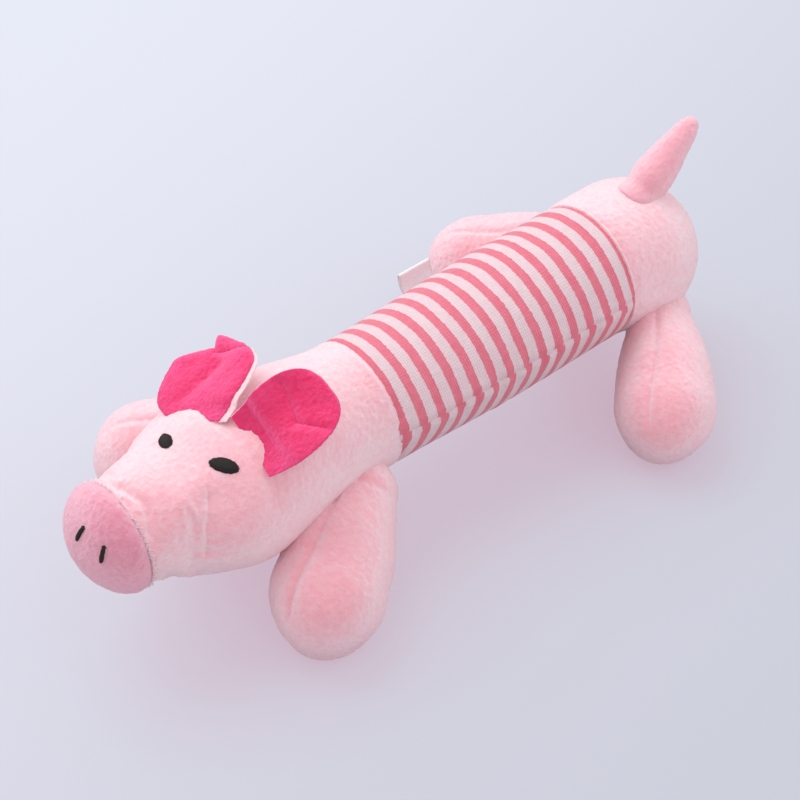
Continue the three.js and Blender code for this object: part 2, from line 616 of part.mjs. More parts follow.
const crownEdge = CROWN_HEIGHT / 2;
const crownRound = new THREE.EllipseCurve(
  0, crownEdge, SQUEAKER_RADIUS, CROWN_HEIGHT - crownEdge, 0, Math.PI / 2);
addPiece("squeaker_crown", turned([
  new THREE.Vector2(0, 0),
  new THREE.Vector2(SQUEAKER_RADIUS, 0),
  ...crownRound.getPoints(6).slice(0, -1),
  new THREE.Vector2(0, CROWN_HEIGHT),
], ROUND_SIDES, vector(0, 0, crownZ), UP), SOFT_POLYETHYLENE);

const pleatPairs = [];
for (let i = 0; i <= 2 * BELLOWS_PLEATS; i++) {
  pleatPairs.push([SQUEAKER_RADIUS - (i % 2 ? PLEAT_DEPTH : 0), (BELLOWS_HEIGHT * i) / (2 * BELLOWS_PLEATS)]);
}
const pleatWall = pleatPairs.map(([r, z]) => [r - BULB_WALL, z]).reverse();
addPiece("squeaker_bellows", standing([...pleatPairs, ...pleatWall], bellowsZ), SOFT_POLYETHYLENE);

addPiece("squeaker_base", standing([
  [SQUEAKER_RADIUS, 0],
  [SQUEAKER_RADIUS, BASE_HEIGHT],
  [WHISTLE_RADIUS + SEAM_GAP, BASE_HEIGHT],
  [WHISTLE_RADIUS + SEAM_GAP, 0],
], baseZ), SOFT_POLYETHYLENE);

const flangeZ = baseZ - SEAM_GAP - FLANGE_HEIGHT;
addPiece("whistle_body", standing([
  [FLANGE_RADIUS, 0],
  [FLANGE_RADIUS, FLANGE_HEIGHT],
  [WHISTLE_RADIUS, FLANGE_HEIGHT],
  [WHISTLE_RADIUS, WHISTLE_LENGTH],
  [WHISTLE_BORE, WHISTLE_LENGTH],
  [WHISTLE_BORE, 0],
], flangeZ), WHISTLE_PLASTIC);
const reedWidth = 2 * (WHISTLE_BORE * Math.cos(Math.PI / ROUND_SIDES) - SEAM_GAP);
const reed = new THREE.BoxGeometry(reedWidth, REED_THICKNESS, REED_LENGTH);
reed.translate(0, 0, flangeZ + WHISTLE_LENGTH / 2);
addPiece("whistle_reed", reed, REED_FILM);

// Stuffing of head, body and rump, each filling its covers; the body's has a well for squeaker and patch
const fillGrow = -PLUSH_THICKNESS - SEAM_GAP;
const middleOf = (points) => vector(points[0].x, 0, AXIS_HEIGHT);
const headFill = [
  ...coverRings(FRONT_AT, EARS_AT, 4, fillGrow),
  ...coverRings(EARS_AT, NOSE_AT, 6, fillGrow),
];
addPiece("head_stuffing", skin(headFill, middleOf(headFill[0]), middleOf(headFill.at(-1))), FIBREFILL);
const bodyFill = coverRings(REAR_AT, FRONT_AT, 4, -JERSEY_THICKNESS - SEAM_GAP);
const bodyCore = solid(skin(bodyFill, middleOf(bodyFill[0]), middleOf(bodyFill.at(-1))));
addPiece("body_stuffing", bodyCore.subtract(pressWell(wellRadius, 0)), FIBREFILL);
addPiece("press_stuffing", bodyCore.intersect(pressWell(PRESS_RADIUS, crownTop + SEAM_GAP)), FIBREFILL);
const rumpFill = rumpRings(fillGrow);
addPiece("rump_stuffing", skin(rumpFill,
  endPoint(RUMP_AT, -RUMP_DEPTH, fillGrow), middleOf(rumpFill.at(-1))), FIBREFILL);

// The origin lies under the middle of the whole pig
const extent = new THREE.Box3().setFromObject(pig);
pig.position.x = -(extent.min.x + extent.max.x) / 2;

export default pig;
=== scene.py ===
import json
import math

import bpy
from mathutils import Matrix, Vector, noise
from mathutils.bvhtree import BVHTree
from mathutils.kdtree import KDTree

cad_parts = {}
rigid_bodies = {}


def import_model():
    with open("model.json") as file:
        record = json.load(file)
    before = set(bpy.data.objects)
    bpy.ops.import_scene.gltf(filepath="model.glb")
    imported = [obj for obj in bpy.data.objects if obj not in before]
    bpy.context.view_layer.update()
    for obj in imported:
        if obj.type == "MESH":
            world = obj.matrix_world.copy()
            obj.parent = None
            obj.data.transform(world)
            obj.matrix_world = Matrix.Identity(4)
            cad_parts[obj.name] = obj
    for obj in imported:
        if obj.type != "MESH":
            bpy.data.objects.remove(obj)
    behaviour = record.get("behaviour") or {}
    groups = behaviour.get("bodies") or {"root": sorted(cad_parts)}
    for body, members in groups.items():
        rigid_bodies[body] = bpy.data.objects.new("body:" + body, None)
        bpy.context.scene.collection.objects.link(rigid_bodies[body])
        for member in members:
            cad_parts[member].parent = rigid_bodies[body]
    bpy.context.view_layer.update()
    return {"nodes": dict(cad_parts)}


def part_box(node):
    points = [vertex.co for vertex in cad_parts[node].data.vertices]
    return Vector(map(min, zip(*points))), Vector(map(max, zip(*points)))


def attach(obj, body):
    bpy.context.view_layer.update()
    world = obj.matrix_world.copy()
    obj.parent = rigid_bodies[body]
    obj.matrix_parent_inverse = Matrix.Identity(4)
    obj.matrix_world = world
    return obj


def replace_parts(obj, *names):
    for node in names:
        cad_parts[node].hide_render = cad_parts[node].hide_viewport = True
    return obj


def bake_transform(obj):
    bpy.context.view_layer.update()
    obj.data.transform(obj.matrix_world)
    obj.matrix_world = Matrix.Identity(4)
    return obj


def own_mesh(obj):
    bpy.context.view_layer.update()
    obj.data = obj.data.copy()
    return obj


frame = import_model()

# Squeaker: a blow-moulded bulb of milky soft plastic with a pressed-in whistle and a film reed.
# It is sealed inside the stuffing under the back, so its solids are shown as they are, apart from
# the pleated wall, whose copy is merged and shaded smooth.
def new_finish(name, **values):
    finish = bpy.data.materials.new(name)
    finish.use_nodes = True
    shader = finish.node_tree.nodes["Principled BSDF"]
    for key, value in values.items():
        shader.inputs[key.replace("_", " ")].default_value = value
    return finish, finish.node_tree, shader


def add_node(tree, kind, **values):
    node = tree.nodes.new(kind)
    for key, value in values.items():
        if hasattr(node, key):
            setattr(node, key, value)
        else:
            node.inputs[key.replace("_", " ")].default_value = value
    return node


def object_place(tree):
    return add_node(tree, "ShaderNodeTexCoord").outputs["Object"]


def object_noise(tree, scale, detail):
    grain = add_node(tree, "ShaderNodeTexNoise", Scale=scale, Detail=detail)
    tree.links.new(object_place(tree), grain.inputs["Vector"])
    return grain.outputs["Fac"]


def colour_mix(tree, share, low, high):
    mix = add_node(tree, "ShaderNodeMix", data_type="RGBA")
    tree.links.new(share, mix.inputs["Factor"])
    for socket, colour in ((mix.inputs[6], low), (mix.inputs[7], high)):
        if isinstance(colour, tuple):
            socket.default_value = (*colour, 1)
        else:
            tree.links.new(colour, socket)
    return mix.outputs[2]


def raise_from(tree, shader, height, strength, distance):
    bump = add_node(tree, "ShaderNodeBump", Strength=strength, Distance=distance)
    tree.links.new(height, bump.inputs["Height"])
    tree.links.new(bump.outputs["Normal"], shader.inputs["Normal"])


GRAIN_DEPTH = 0.0002


def grained_finish(name, low, high, tone, grain, relief, **values):
    finish, tree, shader = new_finish(name, **values)
    colour = colour_mix(tree, object_noise(tree, *tone), low, high)
    tree.links.new(colour, shader.inputs["Base Color"])
    raise_from(tree, shader, object_noise(tree, *grain), relief, GRAIN_DEPTH)
    return finish


MOULDED = {"tone": (180, 3), "grain": (900, 2), "relief": 0.25}
MILKY_PLASTIC = grained_finish(
    "milky_plastic", (0.80, 0.78, 0.72), (0.88, 0.87, 0.83), Roughness=0.45, **MOULDED
)
WHISTLE_PLASTIC = grained_finish(
    "whistle_plastic", (0.62, 0.66, 0.70), (0.72, 0.76, 0.80), Roughness=0.35, **MOULDED
)
REED_FILM = grained_finish(
    "reed_film", (0.52, 0.41, 0.18), (0.62, 0.50, 0.24), Roughness=0.3, **MOULDED
)
inner_finishes = {
    "squeaker_crown": MILKY_PLASTIC,
    "squeaker_bellows": MILKY_PLASTIC,
    "squeaker_base": MILKY_PLASTIC,
    "whistle_body": WHISTLE_PLASTIC,
    "whistle_reed": REED_FILM,
}
for node, finish in inner_finishes.items():
    frame["nodes"][node].data.materials.clear()
    frame["nodes"][node].data.materials.append(finish)


def pick(piece):
    bpy.ops.object.select_all(action="DESELECT")
    piece.select_set(True)
    bpy.context.view_layer.objects.active = piece


def add_piece(name, data):
    piece = bpy.data.objects.new(name, data)
    bpy.context.collection.objects.link(piece)
    pick(piece)
    return piece


MERGE_GAP = 0.00001
SHARP_EDGE = math.radians(50)
pleats = add_piece("squeaker_pleats", frame["nodes"]["squeaker_bellows"].data.copy())
bpy.ops.object.mode_set(mode="EDIT")
bpy.ops.mesh.select_all(action="SELECT")
bpy.ops.mesh.remove_doubles(threshold=MERGE_GAP)
bpy.ops.object.mode_set(mode="OBJECT")
bpy.ops.object.shade_smooth_by_angle(angle=SHARP_EDGE)
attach(pleats, "torso")
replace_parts(pleats, "squeaker_bellows")
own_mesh(pleats)

# Striped body: a stuffed tube of knitted jersey, rose red on white, sewn from a back panel and a
# belly panel along both sides. The back is in two halves, parted near its middle.
back_low, back_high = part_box("back_panel")
MIDDLE_X = round((back_low.x + back_high.x) / 2, 7)
TUBE_HALF = 0.0485
FRONT_X = MIDDLE_X + TUBE_HALF
REAR_X = MIDDLE_X - TUBE_HALF
AXIS_Z = 0.042
# In each row: place ahead of the tube's middle, half width, half height, rise of the middle
SECTIONS = (
    (-0.0655, 0.0255, 0.0255, -0.002),
    (-TUBE_HALF, 0.0243, 0.0243, 0.0),
    (0.0, 0.0237, 0.0237, 0.0),
    (TUBE_HALF, 0.0226, 0.0226, 0.0),
    (0.0725, 0.0258, 0.0248, 0.0012),
    (0.0995, 0.0306, 0.0239, 0.0007),
    (0.1135, 0.029, 0.02, 0.0014),
    (0.1275, 0.0228, 0.018, 0.0036),
    (0.1395, 0.0174, 0.0168, 0.0046),
)
RUMP_AT, REAR_AT, MIDDLE_AT, FRONT_AT, EARS_AT, NOSE_AT = 0, 1, 2, 3, 5, 8
PLACE_HALVINGS = 40
SEAM_OVER, SEAM_UNDER = 0.0006, 0.0014
TUCK = 0.0015
SEAM_ROUND = 0.0014
SEAM_ROWS = 0.25, 0.6
SLACK = 0.0011
BODY_SIDES = 80


def section_at(place):
    last = len(SECTIONS) - 1
    index = min(int(place), last - 1)
    part = place - index
    points = [Vector(section) for section in SECTIONS]
    before = points[index - 1] if index > 0 else 2 * points[0] - points[1]
    after = points[index + 2] if index + 2 <= last else 2 * points[last] - points[last - 1]
    here, ahead = points[index], points[index + 1]
    bend = 2 * before - 5 * here + 4 * ahead - after
    twist = 3 * here - before - 3 * ahead + after
    x, half_width, half_height, rise = here + 0.5 * (
        (ahead - before) * part + bend * part**2 + twist * part**3
    )
    return MIDDLE_X + x, half_width, half_height, AXIS_Z + rise


def place_at(x):
    low, high = RUMP_AT, NOSE_AT
    for _ in range(PLACE_HALVINGS):
        middle = (low + high) / 2
        if section_at(middle)[0] < x:
            low = middle
        else:
            high = middle
    return low


def cover_rings(first, last, steps, pinches):
    ends = section_at(first)[0], section_at(last)[0]
    spots = [ends[0] + (ends[1] - ends[0]) * i / steps for i in range(steps + 1)]
    for end, pinch, inward in zip(ends, pinches, (1, -1)):
        spots += [end + inward * SEAM_ROUND * part for part in SEAM_ROWS if pinch is not None]
    rings = []
    for x in sorted(spots):
        _, half_width, half_height, z = section_at(place_at(x))
        drawn = SLACK
        for end, pinch in zip(ends, pinches):
            if pinch is not None:
                drawn += (pinch - SLACK) * math.exp(-abs(x - end) / SEAM_ROUND)
        rings.append((x, half_width - drawn, half_height - drawn, z))
    return rings


def end_rings(place, depth, steps, slack):
    x, half_width, half_height, z = section_at(place)
    rings = []
    for i in range(1, steps):
        angle = math.pi / 2 * i / steps
        shrink = math.cos(angle)
        reach = math.copysign((abs(depth) - slack) * math.sin(angle), depth)
        rings.append((x + reach, (half_width - slack) * shrink, (half_height - slack) * shrink, z))
    return rings


def sew_rings(name, rings, sides, closed=True):
    bpy.ops.object.select_all(action="DESELECT")
    bpy.ops.mesh.primitive_circle_add(vertices=sides, radius=1, rotation=(0, math.pi / 2, 0))
    piece = bpy.context.object
    piece.name = name
    piece.data.name = name
    bpy.ops.object.transform_apply(location=True, rotation=True, scale=True)
    bpy.ops.object.mode_set(mode="EDIT")
    bpy.ops.mesh.select_mode(type="VERT")
    bpy.ops.mesh.select_all(action="SELECT")
    x, half_width, half_height, z = rings[0]
    bpy.ops.transform.resize(value=(1, half_width, half_height), center_override=(0, 0, 0))
    bpy.ops.transform.translate(value=(x, 0, z))
    for (x0, w0, h0, z0), (x1, w1, h1, z1) in zip(rings, rings[1:]):
        bpy.ops.mesh.extrude_region_move(TRANSFORM_OT_translate={"value": (x1 - x0, 0, z1 - z0)})
        bpy.ops.transform.resize(value=(1, w1 / w0, h1 / h0), center_override=(x1, 0, z1))
    bpy.ops.mesh.select_all(action="SELECT")
    if closed:
        bpy.ops.mesh.fill_holes(sides=0)
        bpy.ops.mesh.select_all(action="SELECT")
    bpy.ops.mesh.normals_make_consistent(inside=False)
    bpy.ops.object.mode_set(mode="OBJECT")
    bpy.ops.object.shade_smooth()
    return piece


def apply_modifier(piece, kind, **values):
    bpy.context.view_layer.objects.active = piece
    modifier = piece.modifiers.new(kind.lower(), kind)
    for key, value in values.items():
        setattr(modifier, key, value)
    bpy.ops.object.modifier_apply(modifier=modifier.name)


def raise_clouds(piece, size, depth):
    clouds = bpy.data.textures.new(piece.name + "_clouds", "CLOUDS")
    clouds.noise_scale = size
    clouds.noise_depth = 1
    apply_modifier(
        piece, "DISPLACE", texture=clouds, texture_coords="LOCAL", strength=depth, mid_level=0.5
    )


def skin_of(piece):
    corners = [vertex.co.copy() for vertex in piece.data.vertices]
    return BVHTree.FromPolygons(corners, [list(face.vertices) for face in piece.data.polygons])


def seam_tree(piece, path):
    skin = skin_of(piece)
    tree = KDTree(len(path))
    for i, point in enumerate(path):
        tree.insert(skin.find_nearest(point)[0], i)
    tree.balance()
    return tree


PUCKER_REACH = 0.0042
SEAM_FADE = 0.15
STITCH_RATE, STITCH_UNEVEN = 330, 0.4
PUCKER_RATE = 240


def sew_in(piece, path, width, depth, pucker=0.0, fades=False):
    tree = seam_tree(piece, path)
    normals = [vertex.normal.copy() for vertex in piece.data.vertices]
    for vertex, normal in zip(piece.data.vertices, normals):
        point, index, gap = tree.find(vertex.co)
        uneven = 1 + STITCH_UNEVEN * noise.noise(point * STITCH_RATE)
        groove = depth * uneven * math.exp(-((gap / width) ** 2))
        if fades:
            groove *= min(1, index / len(path) / SEAM_FADE, (1 - index / len(path)) / SEAM_FADE)
        ripple = pucker * noise.noise(point * PUCKER_RATE) * math.exp(-((gap / PUCKER_REACH) ** 2))
        vertex.co -= normal * (groove + ripple)


FULL_SIZE = 20
PLUMP_FRAMES = 20
PLUMP_LIMIT = 0.0022
HELD_GAP = 0.0011
CLOTH_QUALITY, CLOTH_PRESSURE, CLOTH_STIFFNESS = 5, 6, 0.2


def plump(piece, seams, growth):
    tree = seam_tree(piece, seams)
    start = [vertex.co.copy() for vertex in piece.data.vertices]
    held = piece.vertex_groups.new(name="held")
    for vertex in piece.data.vertices:
        _, _, gap = tree.find(vertex.co)
        held.add([vertex.index], 1.0 if gap < HELD_GAP else 0.0, "REPLACE")
    piece.data.transform(Matrix.Scale(FULL_SIZE, 4))
    bpy.context.view_layer.objects.active = piece
    cloth = piece.modifiers.new("cloth", "CLOTH")
    cloth.settings.quality = CLOTH_QUALITY
    cloth.settings.use_pressure = True
    cloth.settings.uniform_pressure_force = CLOTH_PRESSURE
    cloth.settings.shrink_min = -growth
    cloth.settings.bending_stiffness = CLOTH_STIFFNESS
    cloth.settings.vertex_group_mass = "held"
    cloth.settings.effector_weights.gravity = 0
    for step in range(1, PLUMP_FRAMES + 1):
        bpy.context.scene.frame_set(step)
    bpy.ops.object.modifier_apply(modifier=cloth.name)
    bpy.context.scene.frame_set(1)
    piece.data.transform(Matrix.Scale(1 / FULL_SIZE, 4))
    piece.vertex_groups.clear()
    for vertex, before in zip(piece.data.vertices, start):
        move = vertex.co - before
        if move.length > PLUMP_LIMIT:
            vertex.co = before + move * (PLUMP_LIMIT / move.length)


def point_on_body(place, angle):
    x, half_width, half_height, z = section_at(place)
    return Vector((x, half_width * math.cos(angle), z + half_height * math.sin(angle)))


RING_POINTS = 240


def ring_path(place):
    return [point_on_body(place, 2 * math.pi * i / RING_POINTS) for i in range(RING_POINTS)]


STRIPE_PITCH, STRIPE_SHARE, STRIPE_SOFT = 0.00689, 0.47, 0.03
STRIPE_START = REAR_X - 0.0012
STRIPE_WANDER, WANDER_NOISE = 0.0022, (45, 2)
STRIPE_FRAY, FRAY_NOISE = 0.0007, (1100, 1)
JERSEY_RED = (0.71, 0.138, 0.205), (0.835, 0.222, 0.292)
JERSEY_WHITE = (0.75, 0.545, 0.585), (0.845, 0.645, 0.68)
YARN_NOISE, FUZZ_NOISE = (420, 3), (1300, 2)
WALES, COURSE = 150, 0.0008
LOOP_SHARE, KNIT_RELIEF, KNIT_DEPTH = 0.16, 0.45, 0.0005


def math_node(tree, operation, *values):
    node = add_node(tree, "ShaderNodeMath", operation=operation)
    for socket, value in zip(node.inputs, values):
        if isinstance(value, bpy.types.NodeSocket):
            tree.links.new(value, socket)
        else:
            socket.default_value = value
    return node.outputs[0]


def remap(tree, value, low, high, **values):
    node = add_node(tree, "ShaderNodeMapRange", From_Min=low, From_Max=high, **values)
    tree.links.new(value, node.inputs["Value"])
    return node.outputs[0]


def knit_height(tree, x, y, z):
    around = math_node(tree, "ARCTAN2", math_node(tree, "SUBTRACT", z, AXIS_Z), y)
    ribs = []
    for along, rate in ((around, WALES), (x, 2 * math.pi / COURSE)):
        ribs.append(math_node(tree, "SINE", math_node(tree, "MULTIPLY", along, rate)))
    return math_node(tree, "ADD", *ribs)


def jersey_finish(name, shift, slant):
    finish, tree, shader = new_finish(name, Roughness=0.85, Sheen_Weight=0.2, Sheen_Roughness=0.5)
    split = add_node(tree, "ShaderNodeSeparateXYZ")
    tree.links.new(object_place(tree), split.inputs[0])
    x, y, z = split.outputs
    start = -STRIPE_START + shift - STRIPE_WANDER / 2
    wave = math_node(tree, "MULTIPLY_ADD", object_noise(tree, *WANDER_NOISE), STRIPE_WANDER, start)
    fray = math_node(tree, "MULTIPLY_ADD", object_noise(tree, *FRAY_NOISE), STRIPE_FRAY, wave)
    along = math_node(tree, "ADD", x, math_node(tree, "MULTIPLY_ADD", z, slant, fray))
    part = math_node(tree, "FRACT", math_node(tree, "DIVIDE", along, STRIPE_PITCH))
    edge = remap(tree, part, STRIPE_SHARE - STRIPE_SOFT, STRIPE_SHARE + STRIPE_SOFT)
    tone = object_noise(tree, *YARN_NOISE)
    yarns = [colour_mix(tree, tone, *yarn) for yarn in (JERSEY_RED, JERSEY_WHITE)]
    tree.links.new(colour_mix(tree, edge, *yarns), shader.inputs["Base Color"])
    fuzz = object_noise(tree, *FUZZ_NOISE)
    knit = math_node(tree, "MULTIPLY_ADD", knit_height(tree, x, y, z), LOOP_SHARE, fuzz)
    raise_from(tree, shader, knit, KNIT_RELIEF, KNIT_DEPTH)
    return finish


SEAM_ANGLES = math.radians(9), math.radians(177.75)
SIDE_RIDGE, SIDE_RIDGE_WIDTH = 0.0022, 0.005
SIDE_EDGE, SIDE_EDGE_WIDTH = 0.0007, 0.0019
SIDE_RIDGE_SHORT = 0.14
SIDE_GROOVE, SIDE_GROOVE_WIDTH, SIDE_PUCKER = 0.0009, 0.0010, 0.0012
SIDE_POINTS = 200


def side_seams(short):
    first, last = REAR_AT + short, FRONT_AT - short
    places = [first + (last - first) * i / (SIDE_POINTS - 1) for i in range(SIDE_POINTS)]
    return [point_on_body(place, angle) for angle in SEAM_ANGLES for place in places]


def on_back(spot):
    return SEAM_ANGLES[0] < math.atan2(spot.z - AXIS_Z, spot.y) < SEAM_ANGLES[1]


def tucked_ring(place, beyond):
    x, half_width, half_height, z = section_at(place)
    return x + beyond, half_width - SEAM_UNDER - TUCK / 2, half_height - SEAM_UNDER - TUCK / 2, z


TUBE_STEPS = 60
TUBE_CLOUDS = 0.03, 0.0008
TUBE_GROWTH = 0.008
tube_rings = [tucked_ring(REAR_AT, -TUCK)]
tube_rings += cover_rings(REAR_AT, FRONT_AT, TUBE_STEPS, (SEAM_UNDER, SEAM_UNDER))
tube_rings.append(tucked_ring(FRONT_AT, TUCK))
tube = sew_rings("striped_belly", tube_rings, BODY_SIDES, closed=False)
raise_clouds(tube, *TUBE_CLOUDS)
side_ridges = side_seams(SIDE_RIDGE_SHORT)
sew_in(tube, side_ridges, SIDE_RIDGE_WIDTH, -SIDE_RIDGE)
sew_in(tube, side_ridges, SIDE_EDGE_WIDTH, -SIDE_EDGE)
end_seams = ring_path(REAR_AT) + ring_path(FRONT_AT)
tucked_ends = [p + Vector((math.copysign(TUCK, p.x - MIDDLE_X), 0, 0)) for p in end_seams]
plump(tube, side_ridges + end_seams + tucked_ends, TUBE_GROWTH)
apply_modifier(tube, "SUBSURF", levels=1, render_levels=1)
sew_in(tube, side_seams(0), SIDE_GROOVE_WIDTH, SIDE_GROOVE, SIDE_PUCKER)


def part_off(piece, name, wanted):
    pick(piece)
    bpy.context.tool_settings.mesh_select_mode = (False, False, True)
    for face in piece.data.polygons:
        face.select = wanted(face.center)
    known = set(bpy.data.objects)
    bpy.ops.object.mode_set(mode="EDIT")
    bpy.ops.mesh.separate(type="SELECTED")
    bpy.ops.object.mode_set(mode="OBJECT")
    parted = next(o for o in bpy.data.objects if o not in known)
    parted.name = name
    parted.data.name = name
    return parted


PANEL_THICKNESS = 0.0008
DENT_RING, DENT_REACH, DENT_LOW = 31, 0.0096, 0.0045
DENT_X = REAR_X + DENT_RING / TUBE_STEPS * (FRONT_X - REAR_X)
BELLY_SHIFT, BELLY_SLANT = -0.0100, 0.24
back_front = part_off(tube, "striped_back_front", lambda c: on_back(c) and c.x > DENT_X)
back_rear = part_off(tube, "striped_back_rear", on_back)
BACK_JERSEY = jersey_finish("back_jersey", 0.0, 0.0)
BELLY_JERSEY = jersey_finish("belly_jersey", BELLY_SHIFT, BELLY_SLANT)
for panel, jersey in ((tube, BELLY_JERSEY), (back_front, BACK_JERSEY), (back_rear, BACK_JERSEY)):
    apply_modifier(panel, "SOLIDIFY", thickness=PANEL_THICKNESS, offset=-1)
    bpy.ops.object.mode_set(mode="EDIT")
    bpy.ops.mesh.select_mode(type="EDGE")
    bpy.ops.mesh.select_all(action="DESELECT")
    bpy.ops.mesh.edges_select_sharp(sharpness=SHARP_EDGE)
    bpy.ops.mesh.mark_sharp()
    bpy.ops.object.mode_set(mode="OBJECT")
    panel.data.materials.append(jersey)
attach(tube, "torso")
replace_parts(tube, "belly_panel", "body_stuffing")
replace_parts(back_front, "back_panel", "back_patch", "press_stuffing")
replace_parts(back_rear, "back_panel")
for panel, way in ((back_front, 1), (back_rear, -1)):
    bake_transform(panel)

# Rump: a cup of pale pink short-pile plush, sewn to the rear of the striped tube and stuffed.
# Plush hides its stitches, so only the drawn-in seam and the sheen of the pile's tips show. That sheen
# is partly a real sheen lobe and partly a painted sheen: paler colour mixed in where the surface turns
# from view.
RUMP_DEPTH = 0.025
RUMP_END_STEPS, RUMP_STEPS = 22, 12
RUMP_CLOUDS = 0.03, 0.0012
RUMP_GROWTH = 0.03
PLUSH_SHADER = {
    "Roughness": 0.95,
    "Sheen_Weight": 0.35, "Sheen_Roughness": 0.4, "Sheen_Tint": (1.0, 0.88, 0.91, 1),
    "Subsurface_Weight": 0.25, "Subsurface_Radius": (1.0, 0.35, 0.45), "Subsurface_Scale": 0.004,
}
NAP_NOISE, NAP_SHARE, CURL_NOISE = (1500, 2), 0.7, (480, 2)
MOTTLE_NOISE, MOTTLE_SHARE = (70, 4), 0.5
MOTTLE_RANGE, MOTTLE_PALE = (0.78, 1.42), 0.36
PAINTED_SHEEN_RANGE, PAINTED_SHEEN_PALE = (0.05, 0.38), 0.55
NAP_RELIEF = 0.45
PLUSH_PILE, TUFT_PILE, FLEECE_PILE = 0.0006, 0.0003, 0.0008


def plush_finish(name, deep, pale, pile):
    finish, tree, shader = new_finish(name, **PLUSH_SHADER)
    curl = object_noise(tree, *CURL_NOISE)
    nap = math_node(tree, "MULTIPLY_ADD", object_noise(tree, *NAP_NOISE), NAP_SHARE, curl)
    mottle = math_node(tree, "MULTIPLY_ADD", object_noise(tree, *MOTTLE_NOISE), MOTTLE_SHARE, nap)
    level = remap(tree, mottle, *MOTTLE_RANGE, To_Max=MOTTLE_PALE)
    # Painted sheen and highlight: the colour turns paler where the surface turns from the view, as lit
    # pile tips
    lie = add_node(tree, "ShaderNodeLayerWeight")
    painted_sheen = remap(tree, lie.outputs["Facing"], *PAINTED_SHEEN_RANGE, To_Max=PAINTED_SHEEN_PALE)
    share = math_node(tree, "ADD", level, painted_sheen)
    tree.links.new(colour_mix(tree, share, deep, pale), shader.inputs["Base Color"])
    raise_from(tree, shader, nap, NAP_RELIEF, pile)
    return finish


SEAM_LINE = 0.0009
PILE_CLUMP, PILE_DEPTH = 0.0015, 0.00038
FINE_CLUMP, FINE_DEPTH = 2.6, 2


def raise_pile(piece, levels, clump, depth, seams=(), drawn=0.0):
    apply_modifier(piece, "SUBSURF", levels=levels, render_levels=levels)
    for seam in seams:
        sew_in(piece, seam, SEAM_LINE, drawn, fades=True)
    raise_clouds(piece, clump, depth)
    raise_clouds(piece, clump / FINE_CLUMP, depth / FINE_DEPTH)


PALE_PLUSH = plush_finish("pale_plush", (0.945, 0.44, 0.505), (0.965, 0.75, 0.79), PLUSH_PILE)
rump_rings = end_rings(RUMP_AT, -RUMP_DEPTH, RUMP_END_STEPS, SLACK)[::-1]
rump_rings += cover_rings(RUMP_AT, REAR_AT, RUMP_STEPS, (None, SEAM_OVER))
rump = sew_rings("rump", rump_rings, BODY_SIDES)
raise_clouds(rump, *RUMP_CLOUDS)
plump(rump, ring_path(REAR_AT), RUMP_GROWTH)
raise_pile(rump, 2, PILE_CLUMP, PILE_DEPTH)
rump.data.materials.append(PALE_PLUSH)
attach(rump, "torso")
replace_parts(rump, "rump_cover", "rump_stuffing")

# Head: pale pink plush from the striped tube to the nose seam, stuffed, with the ears caught in
# the seam between neck and face and a dart sewn down each cheek.
DART_BOTTOM = math.radians(-12)
DART_RUN = 0.0105
DART_POINTS = 120
DART_GROOVE_WIDTH, DART_GROOVE, DART_LINE = 0.0048, 0.0018, 0.0007
# In each row: side, angle of the top end, place ahead of the tube
DARTS = ((1, math.radians(66), 0.0660), (-1, math.radians(52), 0.0720))
HEAD_STEPS = 58
HEAD_CLOUDS = 0.034, 0.0014
HEAD_GROWTH = 0.015
EAR_SEAM_RISE, EAR_SEAM_WIDTH, EAR_SEAM_GROOVE = 0.012, 0.002, 0.0006


def mirrored(side, angle):
    return angle if side > 0 else math.pi - angle


def cheek_dart(side, top, start):
    path = []
    for i in range(DART_POINTS):
        share = i / (DART_POINTS - 1)
        angle = top + (DART_BOTTOM - top) * share
        place = place_at(FRONT_X + start + DART_RUN * math.sin(share * math.pi / 2))
        path.append(point_on_body(place, mirrored(side, angle)))
    return path


head_rings = cover_rings(FRONT_AT, NOSE_AT, HEAD_STEPS, (SEAM_OVER, SEAM_OVER))
head = sew_rings("head", head_rings, BODY_SIDES)
raise_clouds(head, *HEAD_CLOUDS)
darts = [cheek_dart(*dart) for dart in DARTS]
ear_seam = [p for p in ring_path(EARS_AT) if p.z > AXIS_Z + EAR_SEAM_RISE]
sew_in(head, ear_seam, EAR_SEAM_WIDTH, EAR_SEAM_GROOVE)
plump(head, ring_path(FRONT_AT) + ring_path(NOSE_AT), HEAD_GROWTH)
for dart in darts:
    sew_in(head, dart, DART_GROOVE_WIDTH, DART_GROOVE, fades=True)
head_skin = skin_of(head)
raise_pile(head, 2, PILE_CLUMP, PILE_DEPTH, darts, DART_LINE)
head.data.materials.append(PALE_PLUSH)
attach(head, "torso")
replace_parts(head, "neck_cover", "face_cover", "head_stuffing")

# Nose: a darker pink plush disc, domed by the stuffing and sewn round its rim to the face. The
# seam leaves a ragged ring of caught pile.
NOSE_DEPTH, NOSE_SWELL = 0.0135, 0.0007
NOSE_STEPS = 20
NOSE_RIM = ((-0.0009, 0.0022), (0.0, 0.0004), (0.0007, -NOSE_SWELL / 2))
NOSE_CLOUDS = 0.02, 0.0008
NOSE_GROWTH = 0.03
NOSE_WAY = Vector((1, 0, 0))
NOSE_PLUSH = plush_finish("nose_plush", (0.76, 0.27, 0.365), (0.90, 0.50, 0.60), PLUSH_PILE)
nose_x, nose_width, nose_height, nose_z = section_at(NOSE_AT)
nose_rings = []
for ahead, drawn in NOSE_RIM:
    nose_rings.append((nose_x + ahead, nose_width - drawn, nose_height - drawn, nose_z))
nose_rings += end_rings(NOSE_AT, NOSE_DEPTH, NOSE_STEPS, -NOSE_SWELL)[1:]
nose = sew_rings("nose", nose_rings, BODY_SIDES)
raise_clouds(nose, *NOSE_CLOUDS)
